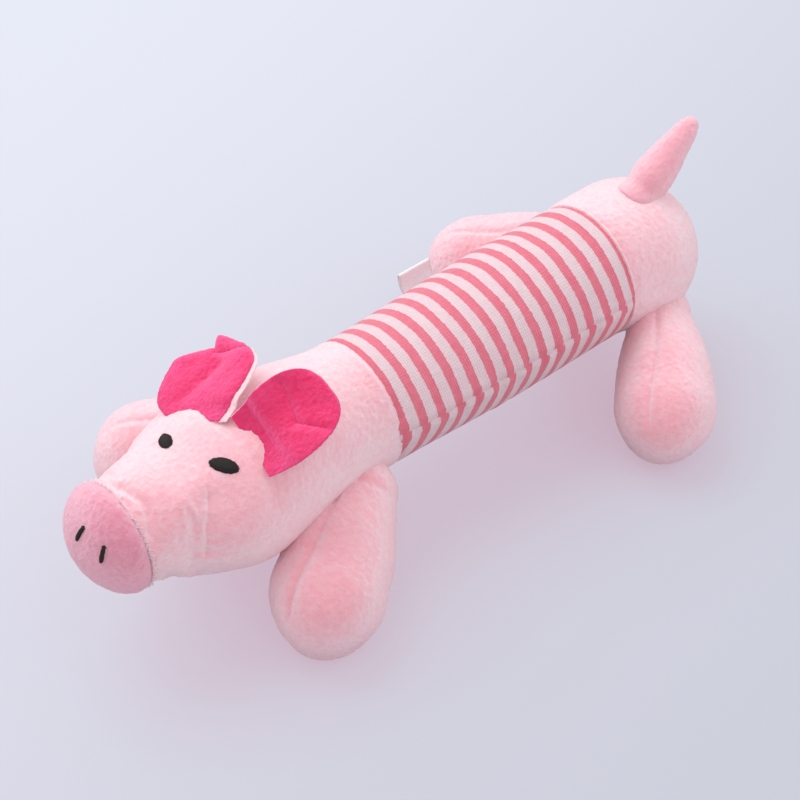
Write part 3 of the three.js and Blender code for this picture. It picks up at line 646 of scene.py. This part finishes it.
plump(nose, ring_path(NOSE_AT), NOSE_GROWTH)
nose_skin = skin_of(nose)
raise_pile(nose, 2, PILE_CLUMP, PILE_DEPTH)
nose.data.materials.append(NOSE_PLUSH)
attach(nose, "torso")
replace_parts(nose, "nose_panel")

TUFT_PLUSH = plush_finish("tuft_plush", (0.91, 0.60, 0.66), (0.96, 0.80, 0.84), TUFT_PILE)
NOSE_TUFTS = 380
TUFT_LENGTH, TUFT_GIRTH, TUFT_SEED = 0.0022, 0.00036, 3.1
TUFT_SIDES, TUFT_POINT = 5, 5
TUFT_LEAN, TUFT_SWAY, TUFT_UNEVEN = 1.1, 0.9, 0.5
TUFT_BURIED, TUFT_CURL = 0.25, 0.35
TUFT_BEHIND, TUFT_SCATTER = 0.010, 0.045
TUFT_BARE, TUFT_BARE_TOP = -0.1, 0.25
TUFT_SUNK, TUFT_REARWARD = 0.0005, 0.3
NOISE_SEED = 1
noise.seed_set(NOISE_SEED)


def add_tufts(name, places, length, girth, seed):
    bpy.ops.object.select_all(action="DESELECT")
    bpy.ops.mesh.primitive_cone_add(
        vertices=TUFT_SIDES, radius1=girth, radius2=girth / TUFT_POINT, depth=1
    )
    bpy.ops.object.mode_set(mode="EDIT")
    bpy.ops.mesh.select_all(action="SELECT")
    bpy.ops.mesh.subdivide(number_cuts=1)
    bpy.ops.object.mode_set(mode="OBJECT")
    single = bpy.context.object
    copies = []
    for i, (point, normal, along) in enumerate(places):
        spin = noise.noise_vector(Vector((i * 0.73, seed, 0.5)))
        aside = TUFT_SWAY * spin.y * normal.cross(along)
        way = (normal + TUFT_LEAN * spin.x * along + aside).normalized()
        size = length * (1 + TUFT_UNEVEN * spin.z)
        turn = way.to_track_quat("Z", "Y").to_matrix().to_4x4()
        shape = single.data.copy()
        for vertex in shape.vertices:
            up = vertex.co.z + 0.5
            vertex.co.z = (up - TUFT_BURIED) * size
            vertex.co.x += TUFT_CURL * size * up**2 * spin.y
        shape.transform(Matrix.Translation(point) @ turn)
        copy = bpy.data.objects.new(name, shape)
        bpy.context.collection.objects.link(copy)
        copies.append(copy)
    bpy.data.objects.remove(single)
    for copy in copies:
        copy.select_set(True)
    bpy.context.view_layer.objects.active = copies[0]
    bpy.ops.object.join()
    tufts = bpy.context.object
    tufts.name = name
    bpy.ops.object.shade_smooth()
    tufts.data.materials.append(TUFT_PLUSH)
    return tufts


nose_tuft_places = []
for i in range(NOSE_TUFTS):
    chance = noise.noise_vector(Vector((i * 0.61, 0.3, 0.7)))
    angle = 2 * math.pi * (i + 2 * chance.x) / NOSE_TUFTS
    point = point_on_body(NOSE_AT - TUFT_BEHIND + TUFT_SCATTER * chance.z, angle)
    outward = Vector((0, math.cos(angle), math.sin(angle)))
    if chance.y > TUFT_BARE + TUFT_BARE_TOP * math.sin(angle):
        lie = outward - TUFT_REARWARD * NOSE_WAY
        nose_tuft_places.append((point - TUFT_SUNK * outward, lie, NOSE_WAY))
nose_tufts = add_tufts(
    "nose_seam_tufts", nose_tuft_places, TUFT_LENGTH, TUFT_GIRTH, TUFT_SEED
)
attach(nose_tufts, "torso")

# Eyes and nostrils: satin stitch in black thread, worked through the plush.
# Each is a row of threads laid side by side, padded a little in the middle.
THREAD = 0.00042
STITCH_STEP, STITCH_WOBBLE = 0.8, 0.00025
STITCH_PADDING, STITCH_SUNK, STITCH_END = 0.0009, 0.0001, 0.06
STITCH_POINTS = 9
FRAME_STEP = 0.01
GROUND_SEARCH = 0.01
BLACK_THREAD = grained_finish(
    "black_thread", (0.008, 0.006, 0.006), (0.03, 0.022, 0.02), tone=(1500, 2), grain=(2600, 1),
    relief=0.3, Roughness=0.5, Specular_IOR_Level=0.3,
)


def body_frame(place, angle):
    step = FRAME_STEP
    round_way = point_on_body(place, angle + step) - point_on_body(place, angle - step)
    along = point_on_body(place + step, angle) - point_on_body(place - step, angle)
    return point_on_body(place, angle), round_way.cross(along).normalized()


def stitch(name, paths, ground):
    stitches = bpy.data.curves.new(name, "CURVE")
    stitches.dimensions = "3D"
    stitches.bevel_depth = THREAD / 2
    stitches.bevel_resolution = 2
    stitches.use_fill_caps = True
    for path in paths:
        spline = stitches.splines.new("POLY")
        spline.points.add(len(path) - 1)
        for spot, (point, normal, lift) in zip(spline.points, path):
            surface, _, _, _ = ground.ray_cast(point + GROUND_SEARCH * normal, -normal)
            spot.co = (*((surface or point) + lift * normal), 1)
    piece = add_piece(name, stitches)
    bpy.ops.object.convert(target="MESH")
    bpy.ops.object.shade_smooth()
    piece = bpy.context.object
    piece.data.materials.append(BLACK_THREAD)
    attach(piece, "torso")
    return piece


def satin_paths(point, normal, along, half_length, half_width, blunt):
    across = normal.cross(along)
    half_length -= THREAD / 2
    count = round(2 * half_length / (STITCH_STEP * THREAD))
    paths = []
    for i in range(count):
        share = -1 + 2 * i / (count - 1)
        reach = half_width * math.sqrt(max(STITCH_END, 1 - abs(share) ** blunt))
        reach += STITCH_WOBBLE * noise.noise(Vector((i * 0.9, half_length * 1000, 2.5)))
        path = []
        for j in range(STITCH_POINTS):
            side = -1 + 2 * j / (STITCH_POINTS - 1)
            spot = point + share * half_length * along + side * reach * across
            lift = STITCH_PADDING * (1 - side**4) * (1 - share**2 / 2) - STITCH_SUNK
            path.append((spot, normal, lift))
        paths.append(path)
    return paths


# In each row: name, side, place ahead of the tube, angle, tilt, length, width
EYES = (
    ("left", 1, 0.0595, 68, -54, 0.0092, 0.0044),
    ("right", -1, 0.0668, 75, 64, 0.0066, 0.0040),
)
EYE_BLUNT, NOSTRIL_BLUNT = 2.2, 8
for name, side, ahead, angle, tilt, length, width in EYES:
    turn = mirrored(side, math.radians(angle))
    point, normal = body_frame(place_at(FRONT_X + ahead), turn)
    along = (NOSE_WAY - normal * normal.x).normalized()
    along.rotate(Matrix.Rotation(math.radians(tilt), 3, normal))
    paths = satin_paths(point, normal, along, length / 2, width / 2, EYE_BLUNT)
    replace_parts(stitch(f"eye_stitches_{name}", paths, head_skin), f"eye_{name}")

# In each row: name, place to the left, rise, tilt
NOSTRILS = (("left", 0.0093, 0.0072, -6), ("right", 0.0002, 0.0093, -10))
NOSTRIL_LENGTH, NOSTRIL_WIDTH = 0.0060, 0.0010
for name, aside, rise, tilt in NOSTRILS:
    start = Vector((nose_x + 3 * NOSE_DEPTH, aside, nose_z + rise))
    point, normal, _, _ = nose_skin.ray_cast(start, -NOSE_WAY)
    along = (Vector((0, 0, 1)) - normal * normal.z).normalized()
    along.rotate(Matrix.Rotation(math.radians(tilt), 3, normal))
    paths = satin_paths(point, normal, along, NOSTRIL_LENGTH / 2, NOSTRIL_WIDTH / 2, NOSTRIL_BLUNT)
    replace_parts(stitch(f"nostril_stitches_{name}", paths, nose_skin), f"nostril_{name}")

# Ears: a hot pink fleece face sewn to a pale plush back round its rim, caught at the base in the
# seam between neck and face. They cup forwards, and the cloth is folded near the tip.
HOT_FLEECE = plush_finish("hot_pink_fleece", (0.83, 0.024, 0.13), (0.96, 0.105, 0.30), FLEECE_PILE)
# In each row: name, side, place ahead of the tube, angle, lean
EARS = (("left", 1, 0.050, 65, 63), ("right", -1, 0.053, 65, 70))
EAR_LENGTH, EAR_WIDEST = 0.028, 0.014
EAR_ROOT = 0.004
EAR_ROWS, EAR_COLUMNS = 56, 52
EAR_TIP, EAR_RIM_POWER, EAR_RIM_THIN = 0.985, 5, 0.15
EAR_ROOT_FULL, EAR_FULL_RISE = 0.3, 0.009
EAR_BASE_RISE = 0.012
EAR_RIPPLE, EAR_RIPPLE_RATES, EAR_RIPPLE_RISE = 0.0010, (130, 80), (0.004, 0.02)
# In each row: name, thickness, way, finish, slot, size and depth of the pile's clumps
EAR_LAYERS = (
    ("face", 0.0019, 1, HOT_FLEECE, "hot_pink_fleece", 0.0011, 0.00034),
    ("back", 0.0021, -1, PALE_PLUSH, "pale_plush", PILE_CLUMP, PILE_DEPTH),
)
# Pairs are for an ear's right-hand and left-hand side. Creases and fold are drawn on its flat cloth
EAR_LIES = {
    "left": {
        "base": (0.0125, 0.0110), "wide": (0.0130, 0.0132), "cups": (0.004, 0.004),
        "tall": 1.05, "square": 0.65, "base_ahead": -0.0046, "base_slant": 0.10, "back_turn": 0.0,
        "creases": (
            ((-0.0100, 0.0180), (0.0030, 0.0148), 0.0013, 0.0012),
            ((0.0026, 0.0144), (0.0105, 0.0205), 0.0013, 0.0010),
        ),
        "fold": None,
    },
    "right": {
        "base": (0.0085, 0.0145), "wide": (0.0165, 0.0145), "cups": (0.0045, 0.0005),
        "tall": 0.88, "square": 0.6, "base_ahead": 0.0020, "base_slant": -0.45, "back_turn": 0.08,
        "creases": (
            ((-0.0060, 0.0205), (0.0050, 0.0270), 0.0011, 0.0012),
            ((-0.0040, 0.0060), (-0.0010, 0.0170), 0.0030, 0.0010),
        ),
        "fold": ((-0.0172, 0.0095), (-0.0060, 0.0205)),
    },
}
FOLD_ROUND, FOLD_TURN = 0.0013, math.radians(165)
FOLD_END = -0.001, 0.002


def smooth_step(value, low, high):
    share = min(1, max(0, (value - low) / (high - low)))
    return share * share * (3 - 2 * share)


def crease_depth(spot, creases):
    depth = 0
    for start, end, width, drawn in creases:
        run = Vector(end) - Vector(start)
        share = min(1, max(0, (spot - Vector(start)).dot(run) / run.length_squared))
        gap = (spot - Vector(start) - share * run).length
        depth += drawn * math.exp(-((gap / width) ** 2))
    return depth


def folded_back(spot, fold):
    if fold is None:
        return spot, 0
    start, end = Vector(fold[0]), Vector(fold[1])
    run = (end - start).normalized()
    out = Vector((-run.y, run.x))
    gap = (spot - start).dot(out)
    past = (spot - start).dot(run) - (end - start).length
    limit = FOLD_TURN * (1 - smooth_step(past, *FOLD_END))
    if gap <= 0 or limit <= 0:
        return spot, 0
    turn = min(gap / FOLD_ROUND, limit)
    rest = gap - FOLD_ROUND * turn
    onward = FOLD_ROUND * math.sin(turn) + rest * math.cos(turn)
    behind = FOLD_ROUND * (1 - math.cos(turn)) + rest * math.sin(turn)
    return spot + (onward - gap) * out, behind


def ear_height(share):
    height = -EAR_ROOT + (EAR_WIDEST + EAR_ROOT) * min(1, 2 * share)
    return height + (EAR_LENGTH - EAR_WIDEST) * math.sin(max(0, math.pi * (share - 0.5)))


def ear_point(ear, share, sideways):
    height = ear_height(share)
    half = 1 if sideways > 0 else 0
    base, wide = ear["base"][half], ear["wide"][half]
    half_width = wide - (wide - base) * max(0, 1 - height / EAR_WIDEST) ** 2
    if height >= EAR_WIDEST:
        half_width = wide * math.cos(math.pi * (share - 0.5)) ** ear["square"]
    spot = Vector((sideways * half_width, height))
    lift = ear["cups"][half] * (spot.x / wide) ** 2 - crease_depth(spot, ear["creases"])
    across_rate, up_rate = EAR_RIPPLE_RATES
    ripple = noise.noise(Vector((spot.x * across_rate, height * up_rate, ear["seed"])))
    lift += EAR_RIPPLE * ripple * smooth_step(height, *EAR_RIPPLE_RISE)
    spot, behind = folded_back(spot, ear["fold"])
    low = 1 - smooth_step(height, 0.0, EAR_BASE_RISE)
    ahead = low * (ear["base_ahead"] + ear["base_slant"] * spot.x)
    point = ear["hinge"] + spot.y * ear["tall"] * ear["up"] + spot.x * ear["across"]
    return point + (lift - behind) * ear["facing"] + ahead * ear["forward"]


for name, side, ahead, angle, lean in EARS:
    turn = mirrored(side, math.radians(angle))
    hinge, normal = body_frame(place_at(FRONT_X + ahead), turn)
    back = (Vector((-1, 0, 0)) + normal * normal.x).normalized()
    tip = math.radians(lean)
    up = math.cos(tip) * normal + math.sin(tip) * back
    facing = math.sin(tip) * normal - math.cos(tip) * back
    ear_frame = dict(EAR_LIES[name], hinge=hinge, up=up, facing=facing, forward=-back, seed=3.7 * side)
    ear_frame["across"] = up.cross(facing).normalized()
    for layer, thickness, way, finish, slot, clump, depth in EAR_LAYERS:
        bpy.ops.object.select_all(action="DESELECT")
        bpy.ops.mesh.primitive_grid_add(x_subdivisions=EAR_COLUMNS, y_subdivisions=EAR_ROWS, size=2)
        ear = bpy.context.object
        ear.name = f"ear_{layer}_cloth_{name}"
        full = ear.vertex_groups.new(name="full")
        for vertex in ear.data.vertices:
            sideways, share = vertex.co.x, EAR_TIP * (vertex.co.y + 1) / 2
            rim = 1 - abs(sideways) ** EAR_RIM_POWER
            rim *= 1 - max(0, 2 * share - 1) ** EAR_RIM_POWER
            full_root = smooth_step(ear_height(share), 0.0, EAR_FULL_RISE)
            root = EAR_ROOT_FULL + (1 - EAR_ROOT_FULL) * full_root
            full.add([vertex.index], max(0, rim * root), "REPLACE")
            if sideways > 0:
                sideways *= 1 - way * ear_frame["back_turn"]
            vertex.co = ear_point(ear_frame, share, sideways)
        outward = sum(face.normal.dot(facing) for face in ear.data.polygons) * way
        apply_modifier(
            ear, "SOLIDIFY", thickness=thickness, offset=1 if outward > 0 else -1,
            vertex_group="full", thickness_vertex_group=EAR_RIM_THIN,
        )
        ear.vertex_groups.clear()
        bpy.ops.object.mode_set(mode="EDIT")
        bpy.ops.mesh.select_all(action="SELECT")
        bpy.ops.mesh.normals_make_consistent(inside=False)
        bpy.ops.object.mode_set(mode="OBJECT")
        raise_pile(ear, 1, clump, depth)
        bpy.ops.object.shade_smooth()
        ear.data.materials.append(finish)
        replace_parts(ear, f"ear_{layer}_{name}")
        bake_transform(ear)

# Legs: pins of pale pink plush that swell to a round foot, stuffed, with a seam along the top. Each
# is sewn to the body at its root and rests on the flat of its foot.
# Painted shade: the legs take a deeper pink copy of the same pale plush, as their sides stand in shade
LEG_PLUSH_PAINTED_SHADE = plush_finish("leg_plush_painted_shade", (0.915, 0.40, 0.46), (0.955, 0.70, 0.75), PLUSH_PILE)
LEG_ROOT_DEPTH = 0.012
FRONT_FOOT_RADIUS, HIND_FOOT_RADIUS = 0.0184, 0.0174
# In each row: name, side, root's place, foot ahead of the root, foot's spread, root and foot radius
LEGS = (
    ("front_left", 1, 0.0655, 0.0254, 0.0375, 0.0130, FRONT_FOOT_RADIUS),
    ("front_right", -1, 0.0655, 0.0315, 0.0430, 0.0142, FRONT_FOOT_RADIUS),
    ("hind_left", 1, -0.0645, 0.0207, 0.0452, 0.0112, HIND_FOOT_RADIUS),
    ("hind_right", -1, -0.0645, 0.0207, 0.0452, 0.0138, HIND_FOOT_RADIUS),
)
LEG_ROOT_ANGLE = math.radians(-33)
FOOT_START = math.radians(-9)
LEG_SIDES = 56
LEG_SEAM_TURN = math.radians(14)
LEG_SEAM_DRIFT = math.radians(26)
LEG_SEAM_END = 0.8
LEG_SEAM_DEPTHS = {1: 0.0007, -1: 0.0003}
LEG_FULLNESS = 0.0010
LEG_SEAM_WIDTH = 0.0020
LEG_ROOT_STEPS, LEG_STEPS, FOOT_STEPS, LEG_RING_POINTS = 10, 18, 22, 120
LEG_CLOUDS = 0.024, 0.0016
LEG_GROWTH = 0.04
FOOT_SINK, FLOOR_GAP = 0.0005, 0.0001
FLAT_RISE, FLAT_PRESS, FLAT_SPREAD = 0.009, 0.35, 0.0016
SPREAD_FROM, SPREAD_TO = 0.002, 0.010


def leg_outline(length, root_radius, foot_radius):
    outline = []
    for i in range(1, LEG_ROOT_STEPS):
        angle = -math.pi / 2 + math.pi / 2 * i / LEG_ROOT_STEPS
        outline.append((LEG_ROOT_DEPTH * math.sin(angle), root_radius * math.cos(angle)))
    foot = Vector((length + foot_radius * math.sin(FOOT_START), foot_radius * math.cos(FOOT_START)))
    slope = Vector((math.cos(FOOT_START), -math.sin(FOOT_START))) * length / 4
    start = Vector((0, root_radius))
    knots = (start, start + slope, foot - slope, foot)
    for i in range(LEG_STEPS + 1):
        t = i / LEG_STEPS
        spot = Vector((0, 0))
        for k, knot in enumerate(knots):
            spot += knot * math.comb(3, k) * t**k * (1 - t) ** (3 - k)
        outline.append((spot.x, spot.y + LEG_FULLNESS * math.sin(math.pi * t) ** 2))
    for i in range(1, FOOT_STEPS):
        angle = FOOT_START + (math.pi / 2 - FOOT_START) * i / FOOT_STEPS
        outline.append((length + foot_radius * math.sin(angle), foot_radius * math.cos(angle)))
    return outline


def leg_sides(way):
    upward = (Vector((0, 0, 1)) - way * way.z).normalized()
    return upward, way.cross(upward)


def leg_ring(root, way, radius):
    upward, aside = leg_sides(way)
    turns = [2 * math.pi * i / LEG_RING_POINTS for i in range(LEG_RING_POINTS)]
    return [root + radius * (math.cos(turn) * upward + math.sin(turn) * aside) for turn in turns]


def leg_seam(outline, length, foot_radius, root, way, turn):
    upward, aside = leg_sides(way)
    path = []
    shaft = outline[LEG_ROOT_STEPS - 1:]
    for (x0, r0), (x1, r1) in zip(shaft, shaft[1:]):
        for part in (0, 0.25, 0.5, 0.75):
            along, radius = x0 + (x1 - x0) * part, r0 + (r1 - r0) * part
            angle = turn + LEG_SEAM_DRIFT * (along / outline[-1][0]) ** 3
            out = math.cos(angle) * upward + math.sin(angle) * aside
            if along < length + LEG_SEAM_END * foot_radius:
                path.append(root + along * way + (radius - SLACK) * out)
    return path


for name, side, root_ahead, reach, spread, root_radius, foot_radius in LEGS:
    root = point_on_body(place_at(MIDDLE_X + root_ahead), mirrored(side, LEG_ROOT_ANGLE))
    foot = Vector((root.x + reach, side * spread, foot_radius - FOOT_SINK))
    way = (foot - root).normalized()
    length = (foot - root).length
    outline = leg_outline(length, root_radius, foot_radius)
    leg_rings = [(x, r - SLACK, r - SLACK, 0) for x, r in outline]
    leg = sew_rings(f"leg_{name}", leg_rings, LEG_SIDES)
    leg.rotation_euler = way.to_track_quat("X", "Z").to_euler()
    leg.location = root
    bpy.ops.object.transform_apply(location=True, rotation=True, scale=True)
    raise_clouds(leg, *LEG_CLOUDS)
    top_seam = leg_seam(outline, length, foot_radius, root, way, side * LEG_SEAM_TURN)
    seam_depth = LEG_SEAM_DEPTHS[side]
    plump(leg, leg_ring(root, way, root_radius - SLACK), LEG_GROWTH)
    sew_in(leg, top_seam, LEG_SEAM_WIDTH, seam_depth, fades=True)
    for vertex in leg.data.vertices:
        low = 1 - smooth_step(vertex.co.z, 0.0, FLAT_RISE)
        level = Vector((vertex.co.x - foot.x, vertex.co.y - foot.y, 0))
        if level.length > SPREAD_FROM:
            outer = smooth_step(level.length, SPREAD_FROM, SPREAD_TO)
            vertex.co += level.normalized() * FLAT_SPREAD * low * outer
        height = max(0, vertex.co.z - FLOOR_GAP)
        vertex.co.z = FLOOR_GAP + height * (1 - FLAT_PRESS * low)
    raise_pile(leg, 2, PILE_CLUMP, PILE_DEPTH, [top_seam], seam_depth)
    for vertex in leg.data.vertices:
        vertex.co.z = max(vertex.co.z, FLOOR_GAP)
    leg.data.materials.append(LEG_PLUSH_PAINTED_SHADE)
    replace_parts(leg, f"leg_cover_{name}", f"leg_stuffing_{name}")
    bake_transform(leg)

# Tail: a stuffed cone of pale pink plush, drawn in where it is sewn to the rump.
# It leans back.
TAIL_PLUSH = plush_finish("tail_plush", (0.90, 0.40, 0.475), (0.955, 0.60, 0.665), PLUSH_PILE)
TAIL_BEHIND, TAIL_LENGTH, TAIL_LEAN = 0.025, 0.028, math.radians(49)
TAIL_ROOT_RADIUS, TAIL_TIP_RADIUS, TAIL_ROOT_DEPTH = 0.0074, 0.0036, 0.006
TAIL_FULLNESS, TAIL_DRAWN, TAIL_DRAWN_WIDTH, TIP_SLACK = 0.0010, 0.0012, 0.0022, 0.0003
TAIL_STEPS, TIP_STEPS, TAIL_SIDES = 18, 9, 40
TAIL_CLOUDS = 0.012, 0.0009
rump_x, rump_radius, _, rump_z = section_at(RUMP_AT)
tail_x = REAR_X - TAIL_BEHIND
tail_share = (rump_x - tail_x) / RUMP_DEPTH
tail_root = Vector((tail_x, 0, rump_z + rump_radius * math.sqrt(1 - tail_share**2)))
tail_way = Vector((-math.sin(TAIL_LEAN), 0, math.cos(TAIL_LEAN)))
tip_middle = TAIL_LENGTH - TAIL_TIP_RADIUS
tail_rings = []
for i in range(TAIL_STEPS + 1):
    share = i / TAIL_STEPS
    radius = TAIL_ROOT_RADIUS + (TAIL_TIP_RADIUS - TAIL_ROOT_RADIUS) * share
    along = -TAIL_ROOT_DEPTH + (tip_middle + TAIL_ROOT_DEPTH) * share
    drawn = TAIL_DRAWN * math.exp(-((along / TAIL_DRAWN_WIDTH) ** 2))
    radius += TAIL_FULLNESS * math.sin(math.pi * share) - drawn
    tail_rings.append((along, radius, radius, 0))
for i in range(1, TIP_STEPS):
    angle = math.pi / 2 * i / TIP_STEPS
    radius = (TAIL_TIP_RADIUS - TIP_SLACK) * math.cos(angle)
    tail_rings.append((tip_middle + TAIL_TIP_RADIUS * math.sin(angle), radius, radius, 0))
tail = sew_rings("tail", tail_rings, TAIL_SIDES)
tail.rotation_euler = tail_way.to_track_quat("X", "Y").to_euler()
tail.location = tail_root
bpy.ops.object.transform_apply(location=True, rotation=True, scale=True)
raise_clouds(tail, *TAIL_CLOUDS)
raise_pile(tail, 2, PILE_CLUMP, PILE_DEPTH)
tail.data.materials.append(TAIL_PLUSH)
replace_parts(tail, "tail_cover", "tail_stuffing")
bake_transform(tail)

# Side tab: a plain white ribbon, folded double and caught in the right-hand side seam.
# It curves outwards and up from the seam.
RIBBON = grained_finish(
    "white_ribbon", (0.82, 0.82, 0.84), (0.90, 0.90, 0.92), tone=(800, 2), grain=(2400, 1),
    relief=0.4, Roughness=0.7,
)
TAB_WIDTH, TAB_BEND, TAB_LENGTH, TAB_THICKNESS = 0.013, 0.008, 0.0126, 0.0003
TAB_SEAM_Y = -0.0226
TAB_FOLD = 0.00045
TAB_COLUMNS, TAB_ROWS = 12, 60


def ribbon_point(run):
    fold_run = math.pi * TAB_FOLD
    if run < TAB_LENGTH:
        angle, offset = run / TAB_BEND, TAB_FOLD
    elif run < TAB_LENGTH + fold_run:
        bend = (run - TAB_LENGTH) / TAB_FOLD
        angle = TAB_LENGTH / TAB_BEND + math.sin(bend) * TAB_FOLD / TAB_BEND
        offset = TAB_FOLD * math.cos(bend)
    else:
        angle, offset = (2 * TAB_LENGTH + fold_run - run) / TAB_BEND, -TAB_FOLD
    radius = TAB_BEND + offset
    return TAB_SEAM_Y - radius * math.sin(angle), AXIS_Z + TAB_BEND - radius * math.cos(angle)


ribbon_run = 2 * TAB_LENGTH + math.pi * TAB_FOLD
bpy.ops.object.select_all(action="DESELECT")
bpy.ops.mesh.primitive_grid_add(x_subdivisions=TAB_COLUMNS, y_subdivisions=TAB_ROWS, size=1)
tab = bpy.context.object
tab.name = "side_ribbon"
for vertex in tab.data.vertices:
    across = MIDDLE_X + vertex.co.x * TAB_WIDTH
    y, z = ribbon_point((vertex.co.y + 0.5) * ribbon_run)
    vertex.co = (across, y, z)
apply_modifier(tab, "SOLIDIFY", thickness=TAB_THICKNESS, offset=0)
bpy.ops.object.shade_smooth()
tab.data.materials.append(RIBBON)
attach(tab, "torso")
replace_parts(tab, "side_tab")

# Floor, light and camera: a pale bluish sweep under a broad soft lamp from the far side and a weak
# one from the right. The camera sees the floor partly glowing, a painted light, paler to the far side
# as a painted pool of light, so that its shadows stay pale and warm, a painted pink bounce as beside
# pink cloth.
FLOOR_FADE = (-0.255, 0.967, 0)
FLOOR_FADE_FROM, FLOOR_FADE_TO = -0.26, 0.22
FLOOR_SIZE = 8
FLOOR_NOISE = 2, 1
FLOOR_COLOURS = (0.53, 0.53, 0.575), (0.56, 0.56, 0.605)
# Painted light: the seen diffuse is cyan and the glow pink, so shadows turn pink as if from bounce
SHADED_COLOURS = (0.10, 0.27, 0.27), (0.11, 0.28, 0.28)
GLOW_COLOURS = (0.67, 0.47, 0.575), (0.49, 0.31, 0.39)
FLOOR_PAINT, floor_tree, floor_shader = new_finish("pale_floor", Roughness=0.9, Specular_IOR_Level=0.2)
floor_links = floor_tree.links
floor_tone = object_noise(floor_tree, *FLOOR_NOISE)
floor_links.new(colour_mix(floor_tree, floor_tone, *FLOOR_COLOURS), floor_shader.inputs["Base Color"])
shaded = add_node(floor_tree, "ShaderNodeBsdfDiffuse")
floor_links.new(colour_mix(floor_tree, floor_tone, *SHADED_COLOURS), shaded.inputs["Color"])
floor_way = add_node(floor_tree, "ShaderNodeVectorMath", operation="DOT_PRODUCT")
floor_links.new(object_place(floor_tree), floor_way.inputs[0])
floor_way.inputs[1].default_value = FLOOR_FADE
painted_light_falloff = remap(
    floor_tree, floor_way.outputs["Value"], FLOOR_FADE_FROM, FLOOR_FADE_TO,
    interpolation_type="SMOOTHSTEP",
)
glow = add_node(floor_tree, "ShaderNodeEmission")
floor_links.new(colour_mix(floor_tree, painted_light_falloff, *GLOW_COLOURS), glow.inputs["Color"])
seen_floor = add_node(floor_tree, "ShaderNodeAddShader")
floor_links.new(shaded.outputs[0], seen_floor.inputs[0])
floor_links.new(glow.outputs[0], seen_floor.inputs[1])
rays = add_node(floor_tree, "ShaderNodeLightPath").outputs
reflected = math_node(floor_tree, "MAXIMUM", rays["Is Glossy Ray"], rays["Is Transmission Ray"])
seen = math_node(floor_tree, "MAXIMUM", rays["Is Camera Ray"], reflected)
floor_mix = add_node(floor_tree, "ShaderNodeMixShader")
for socket, source in zip(floor_mix.inputs, (seen, floor_shader.outputs[0], seen_floor.outputs[0])):
    floor_links.new(source, socket)
floor_links.new(floor_mix.outputs[0], floor_tree.nodes["Material Output"].inputs["Surface"])
bpy.ops.object.select_all(action="DESELECT")
bpy.ops.mesh.primitive_plane_add(size=FLOOR_SIZE)
floor = bpy.context.object
floor.name = "floor"
floor.data.materials.append(FLOOR_PAINT)

WORLD_COLOUR, WORLD_STRENGTH = (0.97, 0.97, 1.0, 1), 0.79
world = bpy.data.worlds.new("studio")
bpy.context.scene.world = world
world.use_nodes = True
sky = world.node_tree.nodes["Background"]
sky.inputs["Color"].default_value = WORLD_COLOUR
sky.inputs["Strength"].default_value = WORLD_STRENGTH

VIEW_TURN = math.radians(50)
CAMERA_DISTANCE, CAMERA_LEFT, CAMERA_DOWN = 0.75, 0.02414, 0.02092
CAMERA_LENS, CAMERA_SENSOR, CAMERA_NEAR = 104.85, 36, 0.01
# In each row: name, place to the camera's right, towards it and up, size, power
LAMPS = (
    ("key_lamp", -0.50, -0.45, 0.95, 1.0, 7.8),
    ("side_lamp", 0.75, 0.10, 0.65, 0.8, 1.2),
)
look = Vector((math.cos(VIEW_TURN), math.sin(VIEW_TURN), 1)) / math.sqrt(2)
right = Vector((-math.sin(VIEW_TURN), math.cos(VIEW_TURN), 0))
above = look.cross(right)
towards = right.cross(Vector((0, 0, 1)))
aim = Vector((MIDDLE_X, 0, AXIS_Z))
for name, aside, nearer, rise, size, power in LAMPS:
    lamp_data = bpy.data.lights.new(name, "AREA")
    lamp_data.size = size
    lamp_data.energy = power
    lamp = bpy.data.objects.new(name, lamp_data)
    bpy.context.collection.objects.link(lamp)
    lamp.location = aim + aside * right + nearer * towards + Vector((0, 0, rise))
    lamp.rotation_euler = (aim - lamp.location).to_track_quat("-Z", "Y").to_euler()

camera_data = bpy.data.cameras.new("photo_camera")
camera_data.lens = CAMERA_LENS
camera_data.sensor_width = CAMERA_SENSOR
camera_data.clip_start = CAMERA_NEAR
camera = bpy.data.objects.new("photo_camera", camera_data)
bpy.context.collection.objects.link(camera)
camera.matrix_world = Matrix((right, above, look)).transposed().to_4x4()
camera.location = aim + CAMERA_DISTANCE * look - CAMERA_LEFT * right - CAMERA_DOWN * above
bpy.context.scene.camera = camera
bpy.context.scene.view_settings.view_transform = "Standard"
